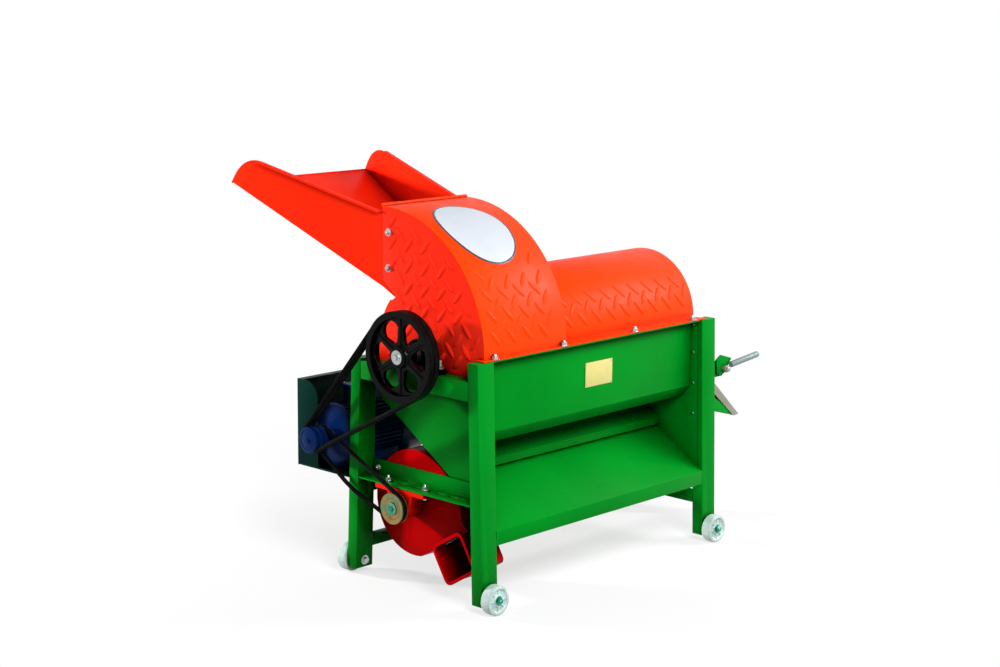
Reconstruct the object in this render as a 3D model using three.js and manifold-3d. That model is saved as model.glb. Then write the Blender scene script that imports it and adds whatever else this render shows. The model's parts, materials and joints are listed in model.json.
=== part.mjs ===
// An electric corn sheller on a four-legged stand, in millimetres, +Z up.
// X runs along the drum from the pulley end to the cob outlet, -Y is the front with the grain tray,
// and +Y is the back with the motor and the hopper mouth.
import * as THREE from "three";
import { mergeVertices } from "three/addons/utils/BufferGeometryUtils.js";
import Module from "manifold-3d";

const wasm = await Module();
wasm.setup();

// Clearances shared by every piece
const weldTolerance = 1e-4;
const fullTurn = 360;
const halfTurn = 180;
const quarterTurn = 90;
const seat = 0.3;
const running = 0.6;
const overrun = 10;

// Driving dimensions of the stand
const leg = {
  spacingX: 930, width: 60, depth: 35, footZ: 20, topZ: 655, footHalfY: 255, topHalfY: 234,
  wall: 3, backTopZ: 610,
};
const wheel = { radius: 40, width: 30, standoff: 4, boltRadius: 6, crown: 3, hubRadius: 15, dish: 3 };
const axleBolt = { headRadius: 10, headHeight: 7, nutHeight: 10, washerRadius: 14, washerThickness: 2 };
const rail = { reach: 228, width: 35, drop: 35, thickness: 4 };
const panel = { thickness: 2, bendZ: 461, lipRun: 25, lipDrop: 33 };
const backPanel = { bottomZ: 540 };
const plate = { thickness: 3, lap: 18, notchRadius: 26, topDrop: 5 };
const tray = { thickness: 2, bendY: -250, bendZ: 212, lip: 39, slopeDeg: 33.75, endY: 190 };
const board = { frontY: -90, lift: 8, lip: 20, endY: 178, thickness: 2 };
const crossTop = { topZ: 605, flange: 50, web: 50, thickness: 5 };
const bearer = {
  bottomZ: 279, flange: 59.5, web: 46, thickness: 4, slotLength: 34, slotWidth: 11, slotStep: 48,
  slots: 7,
};
const lowCross = { bottomZ: 113, size: 40, thickness: 4 };
const lowRail = { bottomZ: 75, size: 40, thickness: 4 };

// Drum, concave and the covers over them
const drum = {
  y: -5, z: 651, shaftRadius: 17.5, rotorRadius: 60, endGap: 7.4, toothReach: 120,
  toothWidth: 14,
};
const bars = { count: 4, notches: 4, notchWidth: 60, notchDepth: 22, pitch: 190 };
const rotorTube = { wall: 6, discs: 3, discThickness: 8, discInset: 12, ventRadius: 9, vents: 4 };
const concave = {
  radius: 148, rodRadius: 4, rods: 17, ribs: 3, ribDepth: 12, ribWidth: 8, fromDeg: 188,
  toDeg: 352,
};
const cover = {
  radius: 182, centreZ: 657, thickness: 3, leftX: -132.5, rightX: 454.5, flangeOut: 1.5,
  notchRadius: 26,
};
const hood = {
  footInset: 14.8, centreZ: 654, leftX: -449.5, backRun: 9, thickness: 3, flangeOverhang: 16,
  hemRadius: 5,
};
const hoodSide = { backRise: 22.3, toeIn: 1, toeRise: 2 };
const hopper = {
  thickness: 2.5, floorDeg: 45.7, floorInset: 8.75, tuck: 4, lap: 36.3, bendPast: 2.7, reach: 554,
  rise: 270,
};
const hopperWall = {
  flare: 98, lowOut: 54, lowRise: 225, topOut: 454, topRise: 333, cornerOut: 518,
  cornerRise: 345,
};
const badge = { offsetX: -11, halfWidth: 112, angleDeg: 58.5, halfHeight: 128, thickness: 1 };
const nameplate = { x: 19, z: 557, width: 112, height: 68, thickness: 1 };

// Shafts, pulleys and belts
const belt = { top: 13, height: 8, sag: 15, flankDeg: 20, spacing: 19.5, sideGap: 0.7, bottomGap: 2.5 };
const bigPulley = {
  radius: 120, rimInner: 103, frontX: -556.5, webThickness: 12, hubRadius: 27, hubLength: 46,
};
const spokes = {
  count: 6, outerR: 29, outerAt: 70.5, innerR: 13, innerAt: 51, outerSweepDeg: 8,
  innerSweepDeg: 20,
};
const motorPulley = { radius: 37, faceRadius: 32, faceLength: 4 };
const fanPulley = { radius: 42, width: 22, centreGap: 1 };
const shaftEnd = { washerRadius: 19, washerThickness: 3, nutRadius: 13, nutHeight: 10 };
const block = { length: 32, halfBase: 82, footHeight: 16, bossRadius: 39, x: 472 };

// Motor behind the back legs
const motor = {
  y: 346, z: 370, frontX: -487, shieldLength: 32, finLength: 178, finRadius: 90, rootRadius: 80,
  fins: 24,
};
const motorDetail = {
  cowlTaper: 0.9, cowlLength: 119, cowlRadius: 87, cowlWall: 3, footY: 70, footWidth: 34,
  footHeight: 12, bore: 14,
};
const motorCore = { shaftRadius: 12, coreRadius: 50, coreLength: 120, cavityRadius: 56, cavityLength: 150 };
const terminal = { x: -350, length: 92, width: 84, height: 40, lid: 10, lidInset: 4 };
const motorPlate = {
  thickness: 6, bottomZ: 272, endX: -190, innerY: 206, outerY: 452, gussetDrop: 30,
  gussetThickness: 5,
};
const motorRail = { size: 40, drop: 50, thickness: 4 };
const guard = {
  thickness: 2, backY: 458, topZ: 518, endDepth: 84, cornerRadius: 50, rightX: -150, topLip: 22,
};

// Fan under the tray
const fan = { y: 54, z: 228, radius: 146, depth: 105, wall: 2.5, inletRadius: 72, shaftRadius: 12.5 };
const fanScroll = {
  frontRadius: 176, fromDeg: -100, opensDeg: 110, fullDeg: 180, toDeg: 185, curl: 1.5,
  shaftHole: 17,
};
const outlet = {
  centreY: -130, centreZ: 119, across: 112, along: 104, turnDeg: 31.8, frontX: -472.5,
  depth: 118,
};
const outletRim = { width: 6, thickness: 3, cornerRadius: 14 };
const impeller = {
  radius: 112, hubRadius: 26, hubLength: 60, blades: 6, bladeThickness: 3, width: 78,
  discThickness: 3,
};
const hanger = { frontGap: 5.4, backGap: 2.8, halfBase: 92, footHeight: 14, bossRadius: 34 };

// Cob outlet
const mouth = { fromY: -112, toY: 34, fromZ: 512, toZ: 596 };
const chute = { fromY: -202, toY: 45, tipX: 649, tipZ: 338, plateZ: 399, wallZ: 480, thickness: 2 };
const pivot = { x: 543.5, z: 499, rodRadius: 8, headRadius: 11, headLength: 8, farY: 92, nearY: -241 };
const flap = {
  topX: 500, topZ: 487, tipX: 664, tipZ: 338, thickness: 2, skirt: 32, earThickness: 5,
  earRadius: 15, earEnd: 77,
};
const lever = {
  y: -234, thickness: 5, handleRadius: 9, handleStartX: 566, handleEndX: 701, handleStartZ: 509,
  handleEndZ: 523,
};
// The lever plate's corners, from the pivot
const leverOutline = [[-36, 29], [-28, -15], [4, -16], [17, 0], [39, 26], [-13, 42]];
const bracket = {
  thickness: 4, earWidth: 4, nearY: -224, farY: 72, topZ: 598, noseX: 562, halfHeight: 24,
  chamfer: 12,
};

// Facet counts
const hexSides = 6;
const squareSides = 4;
const facets = {
  shaft: 16, small: 12, wheel: 18, pulley: 32, smallPulley: 24, arc: 18, cover: 26, motor: 24,
  corner: 4,
};

// Places worked out from the sizes above
const rad = THREE.MathUtils.degToRad;
const legOuterX = leg.spacingX / 2 + leg.width / 2;
const legInnerX = leg.spacingX / 2 - leg.width / 2;
const legSplay = (leg.footHalfY - leg.topHalfY) / (leg.topZ - leg.footZ);
const legOuterY = (z) => leg.footHalfY - legSplay * (z - leg.footZ);
const legInnerY = (z) => legOuterY(z) - leg.depth;
const plateOuterX = legInnerX - seat;
const plateInnerX = plateOuterX - plate.thickness;
const betweenPlates = plateInnerX - seat;
const traySlope = Math.tan(rad(tray.slopeDeg));
const trayZ = (y) => tray.bendZ + traySlope * (y - tray.bendY);
const railTop = leg.topZ;
const coverBase = railTop + seat;
const coverFlangeY = rail.reach + cover.flangeOut;
const rotorHalf = betweenPlates - drum.endGap;
const floorRadius = cover.radius - hopper.floorInset;
const floorEndY = drum.y + floorRadius * Math.cos(rad(hopper.floorDeg));
const floorEndZ = cover.centreZ + floorRadius * Math.sin(rad(hopper.floorDeg));
const hoodBackY = floorEndY + hopper.lap;
const hoodRadius = hoodBackY + coverFlangeY - hood.footInset;
const hoodEdgeY = hoodBackY + hood.backRun;
const hopperInnerY = floorEndY - hopper.tuck;
const hopperBendY = hoodEdgeY + hopper.bendPast;
const hopperMouthY = floorEndY + hopper.reach;
const hopperMouthZ = floorEndZ + hopper.rise;
const hopperMidX = (hood.leftX + cover.leftX) / 2;
const grooveHalf = belt.top / 2 + belt.sideGap;
const grooveDepth = belt.height + belt.bottomGap;
const beltX = [0, 1, 2].map((i) => bigPulley.frontX + belt.top / 2 + 3 * belt.sideGap + i * belt.spacing);
const fanPulleyFrontX = beltX[2] - fanPulley.width / 2 - fanPulley.centreGap;

// Materials
function paint(color, roughness, metalness) {
  return new THREE.MeshStandardMaterial({ color, roughness, metalness });
}
const green = paint(0x00822a, 0.42, 0.1);
const orange = paint(0xff4a22, 0.45, 0.1);
const red = paint(0xee2a14, 0.42, 0.1);
const fanRed = paint(0xb80a12, 0.45, 0.1);
const blue = paint(0x16508c, 0.4, 0.1);
const teal = paint(0x0c3c38, 0.5, 0.1);
const castBlack = paint(0x17171a, 0.45, 0.6);
const rubber = paint(0x141414, 0.8, 0);
const zinc = paint(0xb4bab4, 0.3, 0.9);
const yellowZinc = paint(0xa88a4a, 0.4, 0.8);
const steel = paint(0x8c8c88, 0.4, 0.9);
const nylon = paint(0xe9efec, 0.5, 0);
const bareSheet = paint(0xb8aa94, 0.6, 0.3);
const white = paint(0xe4e8ee, 0.4, 0);
const yellow = paint(0xe6dc80, 0.4, 0);

// Closed shells to solids and back
function shellOf(geometry) {
  const flat = geometry.index ? geometry.toNonIndexed() : geometry.clone();
  flat.deleteAttribute("normal");
  flat.deleteAttribute("uv");
  return mergeVertices(flat, weldTolerance);
}

function solid(geometry) {
  const shell = shellOf(geometry);
  const triVerts = new Uint32Array(shell.index.array);
  const mesh = { numProp: 3, vertProperties: shell.attributes.position.array, triVerts };
  return new wasm.Manifold(new wasm.Mesh(mesh));
}

function geometryOf(manifold) {
  const mesh = manifold.getMesh();
  const step = mesh.numProp;
  const positions = new Float32Array(mesh.numVert * 3);
  for (let i = 0; i < mesh.numVert; i += 1) {
    positions.set(mesh.vertProperties.subarray(i * step, i * step + 3), i * 3);
  }
  const geometry = new THREE.BufferGeometry();
  geometry.setAttribute("position", new THREE.BufferAttribute(positions, 3));
  geometry.setIndex(new THREE.BufferAttribute(new Uint32Array(mesh.triVerts), 1));
  return geometry;
}

const join = (...shapes) => geometryOf(shapes.map(solid).reduce((whole, next) => whole.add(next)));
const cut = (shape, ...tools) => {
  const rest = tools.map(solid).reduce((left, tool) => left.subtract(tool), solid(shape));
  return geometryOf(rest);
};
const common = (shape, other) => geometryOf(solid(shape).intersect(solid(other)));
const moved = (geometry, x, y, z) => geometry.clone().translate(x, y, z);

// Basic shapes, each closed and facing out
function box(x0, x1, y0, y1, z0, z1) {
  const shape = new THREE.BoxGeometry(x1 - x0, y1 - y0, z1 - z0);
  return shape.translate((x0 + x1) / 2, (y0 + y1) / 2, (z0 + z1) / 2);
}

function outline(points, holes = []) {
  const shape = new THREE.Shape(points.map(([u, v]) => new THREE.Vector2(u, v)));
  shape.holes = holes.map((hole) => new THREE.Path(hole.map(([u, v]) => new THREE.Vector2(u, v))));
  return shape;
}

const axesX = new THREE.Matrix4().makeBasis(
  new THREE.Vector3(0, 1, 0),
  new THREE.Vector3(0, 0, 1),
  new THREE.Vector3(1, 0, 0),
);
const axesY = new THREE.Matrix4().makeBasis(
  new THREE.Vector3(1, 0, 0),
  new THREE.Vector3(0, 0, 1),
  new THREE.Vector3(0, -1, 0),
);

// Points are [y, z] for prismX, [x, z] for prismY and [x, y] for prismZ
function extrude(points, depth, holes) {
  return new THREE.ExtrudeGeometry(outline(points, holes), { depth, bevelEnabled: false, steps: 1 });
}

function prismX(points, x0, x1, holes) {
  return extrude(points, x1 - x0, holes).applyMatrix4(axesX).translate(x0, 0, 0);
}

function prismY(points, y0, y1) {
  return extrude(points, y1 - y0).applyMatrix4(axesY).translate(0, y1, 0);
}

function prismZ(points, z0, z1) {
  return extrude(points, z1 - z0).translate(0, 0, z0);
}

function arc(cu, cv, radius, fromDeg, toDeg, steps) {
  return Array.from({ length: steps + 1 }, (_, i) => {
    const a = rad(fromDeg + ((toDeg - fromDeg) * i) / steps);
    return [cu + radius * Math.cos(a), cv + radius * Math.sin(a)];
  });
}

const circle = (cu, cv, radius, steps) => arc(cu, cv, radius, 0, fullTurn, steps).slice(0, steps);

// A round bar about the X axis, and one about the Y axis
const barX = (radius, x0, x1, steps = facets.shaft) => prismX(circle(0, 0, radius, steps), x0, x1);
const barY = (radius, y0, y1, steps = facets.small) => prismY(circle(0, 0, radius, steps), y0, y1);

// A turned piece about the X axis: profile points are [x, radius] with x growing, closed along the axis
function turnedX(profile, steps) {
  const points = profile.map(([x, r]) => new THREE.Vector2(r, x));
  const shape = new THREE.LatheGeometry(points, steps);
  return shape.applyMatrix4(axesX.clone().multiply(axesYtoZ));
}

const axesYtoZ = new THREE.Matrix4().makeBasis(
  new THREE.Vector3(1, 0, 0),
  new THREE.Vector3(0, 0, 1),
  new THREE.Vector3(0, -1, 0),
);

// The closed outline of a bent sheet: the path is its right-hand face, the sheet lies to the left of it
function sheet(path, thickness) {
  const left = path.map((point, i) => {
    const before = path[Math.max(i - 1, 0)];
    const after = path[Math.min(i + 1, path.length - 1)];
    const into = new THREE.Vector2(point[0] - before[0], point[1] - before[1]).normalize();
    const out = new THREE.Vector2(after[0] - point[0], after[1] - point[1]).normalize();
    if (i === 0) into.copy(out);
    if (i === path.length - 1) out.copy(into);
    const mitre = new THREE.Vector2(-into.y - out.y, into.x + out.x).normalize();
    const reach = thickness / (mitre.x * -into.y + mitre.y * into.x);
    return [point[0] + mitre.x * reach, point[1] + mitre.y * reach];
  });
  return [...path, ...left.reverse()];
}

const mirrorY = (points) => points.map(([y, z]) => [-y, z]);

// The assembly and its pieces
const machine = new THREE.Group();

function piece(name, geometry, material, parent = machine) {
  const mesh = new THREE.Mesh(geometry, material);
  mesh.name = name;
  parent.add(mesh);
  return mesh;
}

function groupAt(x, y, z, parent = machine) {
  const group = new THREE.Group();
  group.position.set(x, y, z);
  parent.add(group);
  return group;
}

// Legs and wheels
function legTube(sideX, sideY) {
  const topZ = sideY > 0 ? leg.backTopZ : leg.topZ;
  const side = (inset, z0, z1) => {
    const rim = [
      [legOuterY(z0) - inset, z0],
      [legOuterY(z1) - inset, z1],
      [legInnerY(z1) + inset, z1],
      [legInnerY(z0) + inset, z0],
    ];
    return sideY > 0 ? rim : mirrorY(rim);
  };
  const x0 = (sideX * leg.spacingX) / 2 - leg.width / 2;
  const outer = prismX(side(0, leg.footZ, topZ), x0, x0 + leg.width);
  const hollow = side(leg.wall, leg.footZ - overrun, topZ - leg.wall);
  const inner = prismX(hollow, x0 + leg.wall, x0 + leg.width - leg.wall);
  const hole = barY(wheel.boltRadius + running, -leg.footHalfY - overrun, leg.footHalfY + overrun);
  return cut(outer, inner, moved(hole, (sideX * leg.spacingX) / 2, 0, wheel.radius));
}

function wheelBody() {
  const half = wheel.width / 2;
  const bore = wheel.boltRadius + running;
  const profile = [
    [-half + wheel.dish, bore],
    [-half + wheel.dish, wheel.hubRadius],
    [-half, wheel.hubRadius + wheel.dish],
    [-half, wheel.radius - wheel.crown],
    [-half + wheel.crown, wheel.radius],
    [half - wheel.crown, wheel.radius],
    [half, wheel.radius - wheel.crown],
    [half, wheel.hubRadius + wheel.dish],
    [half - wheel.dish, wheel.hubRadius],
    [half - wheel.dish, bore],
    [-half + wheel.dish, bore],
  ];
  return turnedX(profile, facets.wheel);
}

// The axle bolt along local X: the head inside the leg, the wheel and the nut outside
function axleBody(innerFace, wheelCentre) {
  const r = wheel.boltRadius;
  const wheelIn = wheelCentre - wheel.width / 2 + wheel.dish - seat;
  const wheelOut = wheelCentre + wheel.width / 2 - wheel.dish + seat;
  const spacerFrom = wheelIn - wheel.dish - wheel.standoff / 2;
  const head = innerFace - seat;
  const washerOut = wheelOut + axleBolt.washerThickness;
  return join(
    barX(r, head - axleBolt.headHeight / 2, washerOut + axleBolt.nutHeight + overrun / 2, facets.small),
    barX(axleBolt.headRadius, head - axleBolt.headHeight, head, hexSides),
    barX(wheel.hubRadius - wheel.dish, spacerFrom, wheelIn, facets.small),
    barX(axleBolt.washerRadius - wheel.dish, wheelOut, washerOut, facets.small),
    barX(axleBolt.headRadius, washerOut - seat, washerOut + axleBolt.nutHeight, hexSides),
  );
}

for (const [sideY, endName] of [[-1, "front"], [1, "back"]]) {
  for (const [sideX, sideName] of [[-1, "left"], [1, "right"]]) {
    const corner = endName + "_" + sideName;
    piece("leg_" + corner, legTube(sideX, sideY), green);
    const hub = groupAt((sideX * leg.spacingX) / 2, 0, wheel.radius);
    hub.rotation.z = rad(sideY * quarterTurn);
    const outerFace = legOuterY(wheel.radius - wheel.hubRadius);
    const centre = outerFace + wheel.standoff + wheel.width / 2;
    const wheelMesh = piece("wheel_" + corner, wheelBody(), nylon, hub);
    wheelMesh.position.x = centre;
    piece("wheel_bolt_" + corner, axleBody(legInnerY(wheel.radius + wheel.hubRadius), centre), zinc, hub);
  }
}

// Rails, cross members and plates of the stand
const railSection = [
  [-rail.reach, railTop],
  [-rail.reach, railTop - rail.thickness],
  [-rail.reach + rail.width - rail.thickness, railTop - rail.thickness],
  [-rail.reach + rail.width - rail.thickness, railTop - rail.drop],
  [-rail.reach + rail.width, railTop - rail.drop],
  [-rail.reach + rail.width, railTop],
];
piece("top_rail_front", prismX(railSection, -betweenPlates, betweenPlates), green);
piece("top_rail_back", prismX(mirrorY(railSection), -betweenPlates, betweenPlates), green);

const panelFaceY = rail.reach - rail.width + rail.thickness + seat;
const panelTop = railTop - rail.thickness - seat;
const frontPanelPath = [
  [-panelFaceY, panelTop],
  [-panelFaceY, panel.bendZ],
  [-panelFaceY + panel.lipRun, panel.bendZ - panel.lipDrop],
];
const frontPanelSection = sheet(frontPanelPath.reverse(), panel.thickness);
piece("front_panel", prismX(frontPanelSection, -betweenPlates, betweenPlates), green);
piece(
  "back_panel",
  box(-betweenPlates, betweenPlates, panelFaceY, panelFaceY + panel.thickness, backPanel.bottomZ, panelTop),
  green,
);

const trayPath = [
  [tray.bendY, tray.bendZ - tray.lip],
  [tray.bendY, tray.bendZ],
  [tray.endY, trayZ(tray.endY)],
];
piece("grain_tray", prismX(sheet(trayPath.reverse(), tray.thickness), -betweenPlates, betweenPlates), green);

const boardZ = (y) => trayZ(y) + tray.thickness + board.lift + board.lip;
const boardPath = [
  [board.frontY, boardZ(board.frontY) - board.lip],
  [board.frontY, boardZ(board.frontY)],
  [board.endY, boardZ(board.endY)],
];
piece("grain_board", prismX(sheet(boardPath, board.thickness), -betweenPlates, betweenPlates), green);

function endPlate(side) {
  const frontY = (z) => -legOuterY(z) + plate.lap;
  const toe = tray.bendY + plate.lap * 2;
  const topZ = railTop - plate.topDrop;
  const edgeBack = tray.endY + panel.thickness + seat + plate.topDrop;
  const face = [
    [frontY(trayZ(toe)), trayZ(frontY(trayZ(toe))) - tray.thickness],
    [edgeBack, trayZ(edgeBack) - tray.thickness],
    [legOuterY(topZ) - plate.lap, topZ - rail.drop * 2],
    [legOuterY(topZ) - plate.lap, topZ],
    [frontY(topZ), topZ],
  ];
  const x0 = side < 0 ? -plateOuterX : plateInnerX;
  const notch = prismX(
    [
      ...arc(drum.y, drum.z, plate.notchRadius, halfTurn, fullTurn, facets.small),
      [drum.y + plate.notchRadius, railTop + overrun],
      [drum.y - plate.notchRadius, railTop + overrun],
    ],
    x0 - overrun,
    x0 + plate.thickness + overrun,
  );
  return [prismX(face, x0, x0 + plate.thickness), notch];
}

piece("end_plate_left", cut(...endPlate(-1)), green);
const cobMouth = box(0, legOuterX, mouth.fromY, mouth.toY, mouth.fromZ, mouth.toZ);
piece("end_plate_right", cut(...endPlate(1), cobMouth), green);

function crossAngle(side) {
  const t = crossTop.thickness;
  const section = [
    [legOuterX, crossTop.topZ],
    [legOuterX, crossTop.topZ - crossTop.web],
    [legOuterX - t, crossTop.topZ - crossTop.web],
    [legOuterX - t, crossTop.topZ - t],
    [legOuterX - crossTop.flange, crossTop.topZ - t],
    [legOuterX - crossTop.flange, crossTop.topZ],
  ].map(([x, z]) => [side * x, z]);
  const reach = legInnerY(crossTop.topZ) - seat;
  return prismY(section, -reach, reach);
}

piece("top_cross_left", crossAngle(-1), green);
piece("top_cross_right", crossAngle(1), green);

// The slotted angle that carries the fan and its bearing
const bearerWebX = -legOuterX + bearer.flange;
const fanFrontX = bearerWebX + seat;
const bearerSection = [
  [-legOuterX, bearer.bottomZ],
  [bearerWebX, bearer.bottomZ],
  [bearerWebX, bearer.bottomZ + bearer.web],
  [bearerWebX - bearer.thickness, bearer.bottomZ + bearer.web],
  [bearerWebX - bearer.thickness, bearer.bottomZ + bearer.thickness],
  [-legOuterX, bearer.bottomZ + bearer.thickness],
];
const bearerReach = legInnerY(bearer.bottomZ + bearer.web) - seat;
const bearerSlots = Array.from({ length: bearer.slots }, (_, i) => {
  const y = fan.y + (i - (bearer.slots + 1) / 2) * bearer.slotStep;
  const x = -legOuterX + bearer.flange / 2;
  const half = bearer.slotWidth / 2;
  const z = bearer.bottomZ;
  return box(x - half, x + half, y, y + bearer.slotLength, z - overrun, z + bearer.thickness + overrun);
});
piece("fan_bearer", cut(prismY(bearerSection, -bearerReach, bearerReach), ...bearerSlots), green);

const lowCrossReach = legInnerY(lowCross.bottomZ + lowCross.size) - seat;
const lowCrossSection = [
  [legInnerX, lowCross.bottomZ],
  [legInnerX + lowCross.size, lowCross.bottomZ],
  [legInnerX + lowCross.size, lowCross.bottomZ + lowCross.thickness],
  [legInnerX + lowCross.thickness, lowCross.bottomZ + lowCross.thickness],
  [legInnerX + lowCross.thickness, lowCross.bottomZ + lowCross.size],
  [legInnerX, lowCross.bottomZ + lowCross.size],
];
piece("low_cross_right", prismY(lowCrossSection, -lowCrossReach, lowCrossReach), green);

const lowRailY = legInnerY(lowRail.bottomZ);
const lowRailSection = [
  [lowRailY, lowRail.bottomZ],
  [lowRailY + lowRail.thickness, lowRail.bottomZ],
  [lowRailY + lowRail.thickness, lowRail.bottomZ + lowRail.size],
  [lowRailY - lowRail.size, lowRail.bottomZ + lowRail.size],
  [lowRailY - lowRail.size, lowRail.bottomZ + lowRail.size - lowRail.thickness],
  [lowRailY, lowRail.bottomZ + lowRail.size - lowRail.thickness],
];
piece("low_rail_back", prismX(lowRailSection, -legInnerX + seat, legInnerX - seat), green);

const motorRailOuterY = legOuterY(motorPlate.bottomZ);
const motorRailTop = motorPlate.bottomZ - seat;
const motorRailSection = [
  [motorRailOuterY, motorRailTop],
  [motorRailOuterY - motorRail.size, motorRailTop],
  [motorRailOuterY - motorRail.size, motorRailTop - motorRail.thickness],
  [motorRailOuterY - motorRail.thickness, motorRailTop - motorRail.thickness],
  [motorRailOuterY - motorRail.thickness, motorRailTop - motorRail.drop],
  [motorRailOuterY, motorRailTop - motorRail.drop],
];
piece("motor_rail", prismX(motorRailSection, -legInnerX + seat, legInnerX - seat), green);

// Drum cover, hood and hopper
const coverFlangeZ = coverBase + cover.thickness;
const coverInner = cover.radius - cover.thickness;
const aboveFlange = ([, z]) => z > coverFlangeZ + cover.thickness;

function coverArc(radius, fromDeg, toDeg, steps) {
  return arc(drum.y, cover.centreZ, radius, fromDeg, toDeg, steps);
}

const coverPath = [
  [-coverFlangeY, coverBase],
  [drum.y - coverInner, coverBase],
  ...coverArc(coverInner, halfTurn, 0, facets.cover).filter(aboveFlange),
  [drum.y + coverInner, coverBase],
  [coverFlangeY, coverBase],
];
const coverBackRise = floorEndZ - overrun - cover.centreZ;
const coverBackDeg = THREE.MathUtils.radToDeg(Math.asin(coverBackRise / cover.radius));
const coverBackPath = [
  ...coverArc(coverInner, coverBackDeg, 0, facets.arc / 2).filter(aboveFlange),
  [drum.y + coverInner, coverBase],
  [coverFlangeY, coverBase],
];
const coverEndFace = coverArc(cover.radius - cover.thickness / 2, 0, halfTurn, facets.cover);
const coverEndWall = cut(
  prismX(coverEndFace, cover.rightX - cover.thickness, cover.rightX),
  moved(barX(cover.notchRadius, cover.rightX - overrun, cover.rightX + overrun), 0, drum.y, drum.z),
  box(cover.rightX - overrun, cover.rightX + overrun, -cover.radius, cover.radius, 0, coverBase),
);
const coverLeft = cover.leftX + seat;
const coverBackLeft = hood.leftX + hood.thickness + seat;
piece(
  "drum_cover",
  join(
    prismX(sheet(coverPath, cover.thickness), coverLeft, cover.rightX),
    prismX(sheet(coverBackPath, cover.thickness), coverBackLeft, coverLeft + seat),
    coverEndWall,
  ),
  orange,
);

const hoodInner = hoodRadius - hood.thickness;
const hoodPath = [
  [-coverFlangeY, coverBase],
  [hoodBackY - hoodInner, coverBase],
  ...arc(hoodBackY, hood.centreZ, hoodInner, halfTurn, quarterTurn, facets.arc).filter(aboveFlange),
  [hoodEdgeY, hood.centreZ + hoodInner],
];
const hoodFlangeTail = box(
  hood.leftX - hood.flangeOverhang,
  hood.leftX + hood.thickness,
  -coverFlangeY,
  -rail.reach + rail.width,
  coverBase,
  coverFlangeZ,
);
piece(
  "hood",
  join(
    prismX(sheet(hoodPath, hood.thickness), hood.leftX, cover.leftX),
    moved(
      barX(hood.hemRadius, hood.leftX, cover.leftX, facets.small),
      0,
      hoodEdgeY,
      hood.centreZ + hoodInner + hood.hemRadius,
    ),
    hoodFlangeTail,
  ),
  orange,
);

// A side plate of the hood: its arc, its upright back edge and the slant down to the hopper's floor.
// The left one reaches down past the rail to the cross angle.
const sideRadius = hoodInner - seat;
const floorSlope = hopper.rise / hopper.reach;
const floorZ = (y) => floorEndZ + floorSlope * (y - floorEndY);
const sideToeY = hopperInnerY - hoodSide.toeIn;
const wholeSideArc = arc(hoodBackY, hood.centreZ, sideRadius, halfTurn, quarterTurn, facets.arc);
const sideArc = wholeSideArc.filter(([, z]) => z > coverFlangeZ + seat);
const sideBack = [
  [hoodEdgeY, hood.centreZ + sideRadius],
  [hoodEdgeY, floorZ(hoodEdgeY) + hoodSide.backRise],
  [sideToeY, floorEndZ + hoodSide.toeRise],
];
const sideFootZ = coverFlangeZ + seat;
const drumBackArc = coverArc(cover.radius - cover.thickness - seat, coverBackDeg - 1, 2, facets.arc / 2);
const skirtFrontY = -rail.reach + rail.width + seat;
const skirtBackY = drum.y + cover.radius - cover.thickness - seat;
const skirtZ = crossTop.topZ + seat;
const leftFace = [
  [hoodBackY - sideRadius + seat, sideFootZ],
  ...sideArc,
  ...sideBack,
  ...drumBackArc,
  [skirtBackY, skirtZ],
  [skirtFrontY, skirtZ],
  [skirtFrontY, sideFootZ],
];
const shaftNotch = moved(barX(plate.notchRadius, -legOuterX, 0), 0, drum.y, drum.z);
piece("hood_side_left", cut(prismX(leftFace, hood.leftX, hood.leftX + hood.thickness), shaftNotch), red);

const rightFace = [
  [hoodBackY - sideRadius + seat, sideFootZ],
  ...sideArc,
  ...sideBack,
  [sideToeY, sideFootZ],
];
const drumBore = prismX(circle(drum.y, cover.centreZ, cover.radius + seat, facets.cover * 2), -legInnerX, 0);
const rightX0 = cover.leftX - hood.thickness;
piece("hood_side_right", cut(prismX(rightFace, rightX0, cover.leftX), drumBore), red);

const hopperHalf = (cover.leftX - hood.leftX) / 2 - hood.thickness - seat;

function hopperPlan(inset, y0, y1) {
  const half = hopperHalf - inset;
  const grow = (hopperWall.flare / (hopperMouthY - hopperBendY)) * (y1 - hopperBendY);
  return [
    [hopperMidX - half, y0],
    [hopperMidX + half, y0],
    [hopperMidX + half, hopperBendY],
    [hopperMidX + half + grow, y1],
    [hopperMidX - half - grow, y1],
    [hopperMidX - half, hopperBendY],
  ];
}

const topSlope = (hopperWall.topRise - hopperWall.lowRise) / (hopperWall.topOut - hopperWall.lowOut);
const lowEndZ = floorEndZ + hopperWall.lowRise - topSlope * (hopperWall.lowOut + hopper.tuck);
const wallCurve = new THREE.QuadraticBezierCurve(
  new THREE.Vector2(hopperMouthY, hopperMouthZ),
  new THREE.Vector2(floorEndY + hopperWall.cornerOut, floorEndZ + hopperWall.cornerRise),
  new THREE.Vector2(floorEndY + hopperWall.topOut, floorEndZ + hopperWall.topRise),
);
const wallSide = [
  [hopperInnerY, floorZ(hopperInnerY)],
  ...wallCurve.getPoints(facets.arc / 2).map((p) => [p.x, p.y]),
  [hopperInnerY, lowEndZ],
];
const floorSide = [
  [hopperInnerY, floorZ(hopperInnerY)],
  [hopperMouthY, hopperMouthZ],
  [hopperMouthY, hopperMouthZ + hopper.thickness],
  [hopperInnerY, floorZ(hopperInnerY) + hopper.thickness],
];
const hopperTop = floorEndZ + hopperWall.topRise + overrun;
const hopperSpan = hopperHalf + hopperWall.flare + overrun;
const hopperInside = hopperPlan(hopper.thickness, hopperInnerY - overrun, hopperMouthY + overrun);
const hopperWalls = cut(
  prismZ(hopperPlan(0, hopperInnerY, hopperMouthY), 0, hopperTop),
  prismZ(hopperInside, -overrun, hopperTop + overrun),
);
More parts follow.
